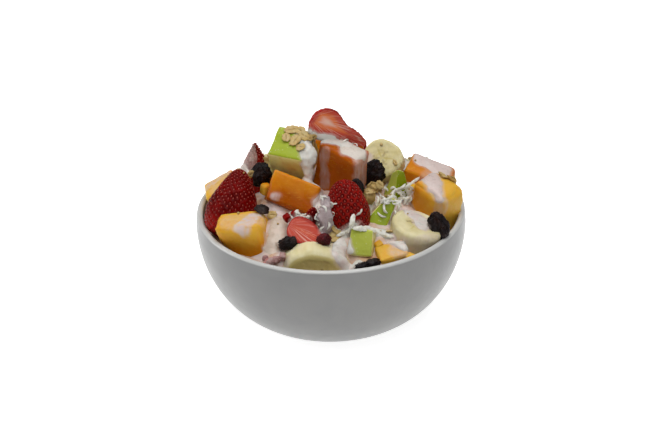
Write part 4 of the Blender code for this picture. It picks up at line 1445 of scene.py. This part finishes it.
# ------------------------------------------------------------------------- the loose oats
# Single toasted flakes, scattered over the yogurt while it was wet, and crumbs broken off them.

NEAR_SIDE = Vector((0, -0.75, 0.66))
AWAY_SIDE = Vector((0, 0.75, 0.66))

heap_points, heap_faces = joined([surface_of(piece) for piece in fruit + [bed, poured_yogurt]])
heap = BVHTree.FromPolygons(heap_points.tolist(), heap_faces)


def on_heap(spot, from_side=NEAR_SIDE):
    """(point, direction out) where the heap's surface lies nearest to a spot, seen from outside."""
    spot = Vector(spot)
    hit, out, _, _ = heap.ray_cast(spot + from_side * 12, -from_side, 24)
    if hit is None:
        hit, out, _, _ = heap.find_nearest(spot)
    if out.dot(from_side) < 0:
        out = -out
    return hit, out


def laid_flat(made, spot, out, yaw, tilt):
    """A small part moved to a spot on the heap, lying along the surface there but for its tilt."""
    points, faces, values = made
    turn = out.to_track_quat("Z", "Y").to_matrix()
    turn = turn @ Matrix.Rotation(yaw, 3, "Z") @ Matrix.Rotation(tilt, 3, "X")
    return points @ np.array(turn).T + np.array(spot), faces, values


FLAKE_THICKNESS = 1.1
FLAKE_SUNK = 0.55  # half of it lies in the yogurt

# By piece: the spot from its middle, length, width, turn on the surface and tilt, in degrees
flakes = by_piece(
    "apple_crown", (-1, 1, 14, 8, 6, 20, 12), (1, -6, 11, 8.5, 6, 70, -8), (4, -1, 14, 7.5, 5.5, -30, 20),
    (-4, -4, 12, 6.5, 5, 110, 16), "strawberry_crown", (-13, -4, -3, 5, 3.8, 60, 10), "apple_crown",
    (10, -8, 12, 8, 6, 60, 12), (6, -5, 13, 7.5, 5.5, -20, 14), (4, -10, 8.5, 7, 5, 20, -14),
    (8, -6, 13.5, 6, 4.6, 110, -18), "melon_right", (4, 8, 13, 6, 4.6, 30, 14),
    (7.5, 7, 12, 6.4, 5, 110, -12), (5.5, 5, 13, 5.4, 4.4, 70, 20), (8.5, 4, 12, 6.4, 5.2, 20, 30),
    (10, 7, 10, 6, 4.6, 140, -30), "strawberry_centre", (-7, -10, -7, 9, 7.6, 80, 26), "cranberry_front",
    (6, 4, 0, 8, 6.6, 20, 14), "melon_mid_left", (-11, -11, -6, 6, 4.6, 10, 8), "strawberry_tip_back",
    (6, 0, 6, 5.5, 4.4, 0, 30), (8, 0, 3, 5.5, 4.2, 90, -20), (9, 2, 8, 5, 4, 40, 30), "raisin_left",
    (-5, -3, 4, 5, 4.2, 40, 10), "apple_centre_right", (3, 6, 12, 6, 4.6, 30, 20), "oats_upper",
    (5, -2, 3, 5.6, 4.4, 120, -20), "banana_right", (-13, -3, 4, 5.6, 4.6, 80, 20), "banana_back",
    (6, -6, 1, 4, 2.2, 120, 10),
)
far_flakes = by_piece(
    "melon_back_high", (2, 6, 6, 7.5, 5.8, 30, 10), (-5, 8, 2, 7, 5.6, 100, -14), "melon_back",
    (2, 6, 10, 8, 6.2, 60, 12), (-8, 8, 4, 6.5, 5, 10, 20), "melon_back_rim", (-4, 4, 9, 7, 5.2, 50, 8),
    (6, 6, 6, 6, 4.6, 140, -12), "banana_back_rim", (-6, 6, 6, 7.4, 5.8, 20, 10), "apple_back_left",
    (4, 6, 6, 6.4, 5, 80, 14), "strawberry_back_right", (0, 8, 4, 6, 4.8, 40, 18), "melon_left_back",
    (2, 8, 4, 7, 5, 10, 10),
)

parts = []
for count, (spot, long, wide, yaw, tilt) in enumerate(flakes + far_flakes):
    hit, out = on_heap(spot, NEAR_SIDE if count < len(flakes) else AWAY_SIDE)
    made = flake(long, wide, FLAKE_THICKNESS, 300 + count)
    parts.append(laid_flat(made, hit + out * FLAKE_SUNK, out, math.radians(yaw), math.radians(tilt)))
drawn = random.Random(8)
for count in range(16):
    around, away = drawn.uniform(0, math.tau), 66 * math.sqrt(drawn.uniform(0.02, 1))
    above = Vector((away * math.cos(around), away * math.sin(around), 140))
    hit, out, _, _ = heap.ray_cast(above, Vector((0, 0, -1)))
    if hit is not None and out.z > 0.3:
        made = crumb(drawn.uniform(0.4, 0.8), 500 + count)
        parts.append(laid_flat(made, hit + out * 0.3, out, drawn.uniform(0, 6), 0))
loose_oats = join_parts("loose_oats", parts, toasted)
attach(loose_oats, "root")


# ---------------------------------------------------------------------------- the coconut
# Dried coconut, grated into long thin shreds. They are white, slightly see-through, and curl as
# they dry, so that they stand in loops off the wet fruit.

COCONUT_WHITE = (0.78, 0.77, 0.70, 1.0)
COCONUT_SHADE = (0.66, 0.64, 0.53, 1.0)

coconut, tree, shader = translucent("coconut_shred", 0.5, 0.35, (1.0, 0.95, 0.8), 1.5)
feed(
    shader,
    Base_Color=mix(tree, spread(tree, mottle(tree, 500), 0.35, 0.7), COCONUT_WHITE, COCONUT_SHADE),
    Roughness=spread(tree, mottle(tree, 700), 0.3, 0.7, 0.35, 0.6),
)

SHRED_STEPS = 22
SHRED_SIDES = 8
DRIED_WIDTH = 0.62  # of the width of the fresh shred
LAID_GIRTH = 1.1
FREE_GIRTH = 1.5  # a shred that curls up shows its full width


def shred(start, out, heading, length, wide, curl, lift, seed, free=False):
    """One strip that follows the heap from start, turning by curl; a free one loops in the air."""
    drawn = random.Random(seed)
    step = length / SHRED_STEPS
    place, facing = Vector(start), out.copy()
    ahead = Vector((1, 0, 0)) - facing * facing.x
    ahead.normalize()
    ahead.rotate(Matrix.Rotation(math.radians(heading), 3, facing))
    line = []
    for count in range(SHRED_STEPS + 1):
        share = count / SHRED_STEPS
        hit, fresh, _, _ = (place, facing, 0, 0) if free else heap.find_nearest(place)
        if fresh.dot(facing) < 0:
            fresh = -fresh
        facing = (facing * 0.8 + fresh * 0.2).normalized()
        raised = 0.35 + lift * math.sin(math.pi * share) ** 1.2
        line.append((hit * 0.7 + place * 0.3 + facing * raised, facing.copy()))
        turn = curl / SHRED_STEPS * (1 + 0.8 * math.sin(share * 7 + seed))
        ahead.rotate(Matrix.Rotation(math.radians(turn), 3, facing))
        ahead = (ahead - facing * ahead.dot(facing)).normalized()
        place = hit + ahead * step
    points = []
    twist = drawn.uniform(-1.2, 1.2)
    for count, (middle, facing) in enumerate(line):
        share = count / SHRED_STEPS
        before, after = line[max(0, count - 1)][0], line[min(SHRED_STEPS, count + 1)][0]
        run = (after - before).normalized()
        across = run.cross(facing).normalized()
        across.rotate(Matrix.Rotation(twist * (share - 0.5) + 0.3 * math.sin(share * 9 + seed), 3, run))
        over = run.cross(across)
        ragged = 1 + 0.35 * noise.noise(Vector((share * length / 1.3, seed * 7.3, 0)))
        girth = (1 - abs(2 * share - 1) ** 2.6) ** 0.6 * ragged * (FREE_GIRTH if free else LAID_GIRTH) + 0.04
        for side in range(SHRED_SIDES):
            angle = math.tau * side / SHRED_SIDES
            sideways = across * (math.cos(angle) * wide / 2 * girth)
            points.append(middle + sideways + over * (math.sin(angle) * wide * 0.2 * girth))
    faces = []
    for count in range(SHRED_STEPS):
        for side in range(SHRED_SIDES):
            beyond = (side + 1) % SHRED_SIDES
            here = count * SHRED_SIDES
            next_ring = here + SHRED_SIDES
            faces.append((here + side, here + beyond, next_ring + beyond, next_ring + side))
    faces.append(tuple(range(SHRED_SIDES))[::-1])
    faces.append(tuple(SHRED_STEPS * SHRED_SIDES + side for side in range(SHRED_SIDES)))
    return np.array(points), faces, np.zeros(len(points))


# By piece: the spot from its middle, heading, length, width when fresh, curl in degrees, lift
shreds = by_piece(
    "strawberry_centre", (4, -11, 3, 20, 5, 2.1, 50, 0.3), (3, -11, 1, 250, 5, 2.2, 40, 0.3),
    (2, -11, -2, 100, 5.5, 2.4, -50, 0.3), (2.5, -11, -4, 280, 6, 2.2, 30, 0.3),
    (2, -11, -7, 80, 5, 2.1, 40, 0.3), (0, -11, -8, 10, 6, 2.4, -30, 0.3),
    (4, -10, -8, 170, 7, 2.2, -40, 0.3), (-11, -7, 10, 160, 6, 1.8, 40, 0.6),
    (-9, -9, 7, 60, 5, 1.9, -50, 0.6), (-13, -7, 8, 100, 6, 1.8, 40, 0.6),
    (-8, -11, 2, 230, 5, 1.8, 50, 0.5), (-8, -12, -2, 320, 5, 2, 50, 0.5),
    (-15, -10, -4, 220, 5, 2, 50, 0.5), (-16, -9, 2, 190, 5, 1.9, 50, 0.5), "melon_mid_left",
    (2, -10, -7, 60, 8, 2, 130, 1.2), (0, -10, -8, 140, 7, 1.9, -120, 1.2),
    (4, -10, -7, 260, 8, 1.8, 140, 1.3), (5, -9, -8, 10, 7, 1.8, 100, 1), "strawberry_between",
    (-8, -4, 2, 60, 6, 2.4, 60, 0.8), (-6, -5, 3, 150, 5, 2.4, -60, 0.8), (-4, -5, 2, 20, 5, 2.2, 60, 0.8),
    "raisin_big", (4, -6, -5, 30, 12, 1.4, 120, 1.4), "banana_right", (-10, 6, 9, 60, 12, 1.5, 140, 1.4),
    "strawberry_crown", (2, -5, -7, 20, 10, 1.6, 60, 0.6), "melon_crown", (9, 1, 12, 70, 9, 1.5, 100, 0.8),
    "apple_centre_right", (-3, 0, 7, 40, 7, 1.9, 90, 0.7), (-5, -2, 5, 100, 6, 1.8, -90, 0.7),
    (-2, -3, 3, 300, 6, 1.6, 60, 0.5), (-6, -4, 1, 60, 6, 1.9, 60, 0.6), (-4, -2, 8, 160, 6, 1.9, 60, 0.8),
    (0, -1, 9, 20, 7, 1.7, 120, 1), "oats_centre", (7, -2, 2, 80, 6, 1.8, 60, 0.6),
    (9, -2, 5, 20, 6, 1.8, -60, 0.6), (6, -3, -4, 120, 6, 1.8, 60, 0.6), (10, -1, 7, 60, 6, 1.8, 80, 0.7),
    "strawberry_centre", (-14, -9, 6, 140, 4, 1.6, 60, 0.9), (-10, -10, 9, 30, 4, 1.6, -60, 0.9),
    (-15, -10, 3, 190, 4, 1.7, 60, 0.9), (-9, -12, 5, 350, 4, 1.6, 40, 0.9),
    (-16, -11, 0, 220, 4, 1.6, -50, 0.9), (-12, -12, 4, 80, 5, 1.7, 80, 0.8),
    (-11, -13, -1, 310, 5, 1.7, -80, 0.8), (-13, -13, -4, 200, 5, 1.7, 70, 0.8),
)
# Loops that lie on one another, clear of the fruit below. Their heading is as seen from the
# front, with 0 to the right and 90 upwards
loops = by_piece(
    "apple_centre_right", (3, -1, 8, 95, 7, 1.7, -140, 0.9), (1, -2, 6, 50, 7, 1.6, -60, 0.8),
    (2, -2, 7, 250, 6, 1.6, 90, 0.8), (5, -2, 8, 200, 6, 1.5, -120, 1), (6, -1, 7, 320, 7, 1.6, 100, 1.2),
    (6, -1, 7, 70, 7, 1.5, -150, 1), (8, -4, 6, 10, 7, 1.6, 120, 1), "apple_right",
    (-4, -3, -6, 60, 7, 1.6, -120, 1), (-4, -3, -6, 340, 6, 1.5, 100, 0.9),
    (-1, -5, -2, 10, 7, 1.7, 50, 1.2), (-1, -5, -2, 210, 7, 1.6, 110, 1),
    (-1, -5, -5, 150, 8, 1.5, -220, 1.2), (2, -4, -2, 15, 13, 1.9, 30, 1.6),
    (0, -7, -6, 130, 7, 1.5, 180, 1), (0, -7, -6, 30, 8, 1.6, -200, 1.4),
    (3, -6, -4, 300, 7, 1.5, 160, 1.2), (4, -4, -7, 70, 8, 1.6, 190, 1.2),
    (4, -4, -7, 350, 7, 1.5, -120, 1), (-3, -6, -7, 290, 7, 1.6, 120, 1), "melon_right",
    (-13, 5, 4, 170, 7, 1.6, -100, 1), (-15, 2, 4, 60, 7, 1.6, 160, 1), (-17, -3, 2, 80, 6, 1.6, -80, 0.9),
    "apple_centre_right", (0, -1, 7, 20, 6, 1.6, 140, 0.8), (4, -1, 8, 120, 6, 1.6, 120, 1), "apple_right",
    (-5, -2, -4, 90, 7, 1.6, 130, 0.9), (-2, -4, -4, 45, 6, 1.6, -140, 0.9),
    (1, -5, -4, 80, 7, 1.6, 170, 1.2), (4, -3, -4, 60, 7, 1.6, -120, 1.2),
    (5, -3, -6, 180, 7, 1.6, 120, 1.2), "melon_right", (-14, 4, 6, 30, 6, 1.6, 130, 1),
    (-16, 1, 2, 320, 6, 1.6, 120, 1), "apple_front", (-9, 6, 3, 215, 5, 2.4, -30, 0.5),
    (-9, 6, 3, 28, 7, 2.8, -20, 0.8), (-5, 1, 8, 0, 8, 3, -25, 0.8), (0, 2, 8, 350, 8, 2.8, -20, 0.6),
    (5, 2, 7, 340, 8, 2.6, -20, 0.6), "melon_front", (-5, 9, 8, 335, 6, 2.2, 20, 0.5), "apple_front",
    (-5, 1, 8, 110, 8, 3, -50, 1), (-6, 1, 9, 60, 5, 2.4, 90, 0.8),
)
far_shreds = by_piece(
    "melon_back_high", (0, 8, 6, 30, 15, 1.5, 140, 1.6), (5, 7, 3, 120, 13, 1.5, -120, 1.4),
    "strawberry_back", (2, 6, 8, 200, 14, 1.6, 100, 0.9), (-4, 8, 4, 80, 12, 1.6, 150, 1.2), "melon_back",
    (0, 10, 4, 10, 16, 1.5, 90, 1.4), (-6, 6, 10, 100, 12, 1.5, -140, 1.6), "melon_back_rim",
    (2, 6, 7, 60, 14, 1.5, 120, 1.2), "banana_back_rim", (0, 6, 6, 20, 15, 1.6, -90, 1), "raisin_back_left",
    (-4, 6, 3, 140, 12, 1.5, 130, 1.4), "apple_back_right", (2, 6, 6, 70, 12, 1.5, 110, 1.2),
    "apple_back_left", (-2, 8, 4, 230, 12, 1.5, 100, 1),
)

parts = []
for count, (spot, heading, length, wide, curl, lift) in enumerate(shreds + far_shreds):
    hit, out = on_heap(spot, NEAR_SIDE if count < len(shreds) else AWAY_SIDE)
    parts.append(shred(hit, out, heading, length, wide * DRIED_WIDTH, curl, lift, 700 + count))
for count, (spot, heading, length, wide, curl, lift) in enumerate(loops):
    start = on_heap(spot)[0] + NEAR_SIDE
    strip = shred(start, NEAR_SIDE, heading, length, wide * DRIED_WIDTH, curl, lift, 900 + count, free=True)
    parts.append(strip)
coconut_shreds = join_parts("coconut_shreds", parts, coconut)
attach(coconut_shreds, "root")


# ------------------------------------------------------------------------------- the floor
# A wide, plain, matt white surface for the bowl to stand on. It isn't part of the object.

FLOOR_RADIUS = 6.0
FLOOR_SEEN = (0.87, 0.87, 0.87, 1.0)
FLOOR_SEEN_GLOW = 0.8
FLOOR_REFLECTED = (0.6, 0.6, 0.6, 1.0)  # a dimmer floor keeps the underside of the bowl in shade
FLOOR_REFLECTED_GLOW = 0.45
FLOOR_MIRRORED_GLOW = 0.7  # what shines in the glaze is the bright far floor

bm = bmesh.new()
bmesh.ops.create_circle(bm, cap_ends=True, radius=FLOOR_RADIUS, segments=96)
floor = new_piece("floor", bm)
floor.location.z = bowl_low.z
floor_paint, tree, shader = new_material("floor_paint", Roughness=0.9, Specular_IOR_Level=0.1)
seen = tree.nodes.new("ShaderNodeLightPath").outputs["Is Camera Ray"]
mirrored = tree.nodes.new("ShaderNodeLightPath").outputs["Is Glossy Ray"]
glow = spread(tree, seen, 0.0, 1.0, FLOOR_REFLECTED_GLOW, FLOOR_SEEN_GLOW)
glow = maths(tree, "MULTIPLY_ADD", mirrored, FLOOR_MIRRORED_GLOW - FLOOR_REFLECTED_GLOW, glow)
feed(shader, Base_Color=mix(tree, seen, FLOOR_REFLECTED, FLOOR_SEEN), Emission_Strength=glow)
shader.inputs["Emission Color"].default_value = (1.0, 1.0, 1.0, 1.0)
floor.data.materials.append(floor_paint)


# ------------------------------------------------------------------------------ the lights
# A large soft light hangs over the bowl, a smaller one stands to the left, and a weak one fills in
# from the front. The room lights little, but where it is seen it is pale.

ROOM_GLOW = 0.10
ROOM_SEEN_GLOW = 0.95  # the room behind looks as pale as the floor


def soft_light(name, watts, width, depth, at, towards):
    light = bpy.data.lights.new(name, "AREA")
    light.shape = "RECTANGLE"
    light.size, light.size_y = width, depth
    light.energy = watts
    lamp = new_object(name, light)
    lamp.location = at
    lamp.rotation_euler = (Vector(at) - Vector(towards)).to_track_quat("Z", "Y").to_euler()


soft_light("overhead", 15.6, 1.5, 1.2, (0.05, 0.0, 1.35), (0, 0, 0.06))
soft_light("left_side", 5.5, 0.6, 0.9, (-1.3, 0.25, 0.55), (0, 0, 0.05))
soft_light("front_fill", 3.3, 0.8, 0.6, (0.2, -1.05, 1.1), (0, 0, 0.06))

world = bpy.data.worlds.new("room")
world.use_nodes = True
room = world.node_tree.nodes["Background"]
room.inputs["Color"].default_value = (1.0, 0.985, 0.96, 1.0)
seen = world.node_tree.nodes.new("ShaderNodeLightPath").outputs["Is Camera Ray"]
feed(room, Strength=spread(world.node_tree, seen, 0.0, 1.0, ROOM_GLOW, ROOM_SEEN_GLOW))
bpy.context.scene.world = world
bpy.context.scene.view_settings.view_transform = "Standard"


# ------------------------------------------------------------------------------ the camera
# Someone sitting at the table looks down on the bowl from the front.

LENS = 87.87
CAMERA_HEIGHT_ANGLE = 28.0
CAMERA_ROLL = -1.36
CAMERA_DISTANCE = 0.9
CAMERA_AIM = Vector((-0.0006, 0.0, 0.0566))

lens = bpy.data.cameras.new("camera")
lens.lens = LENS
lens.sensor_width = 36.0
lens.clip_start = 0.01
camera = new_object("camera", lens)
rise = math.radians(CAMERA_HEIGHT_ANGLE)
back = Vector((0, -math.cos(rise), math.sin(rise)))
upright = back.to_track_quat("Z", "Y").to_matrix().to_4x4()
roll = Matrix.Rotation(math.radians(CAMERA_ROLL), 4, "Z")
camera.matrix_world = Matrix.Translation(CAMERA_AIM + back * CAMERA_DISTANCE) @ upright @ roll
bpy.context.scene.camera = camera
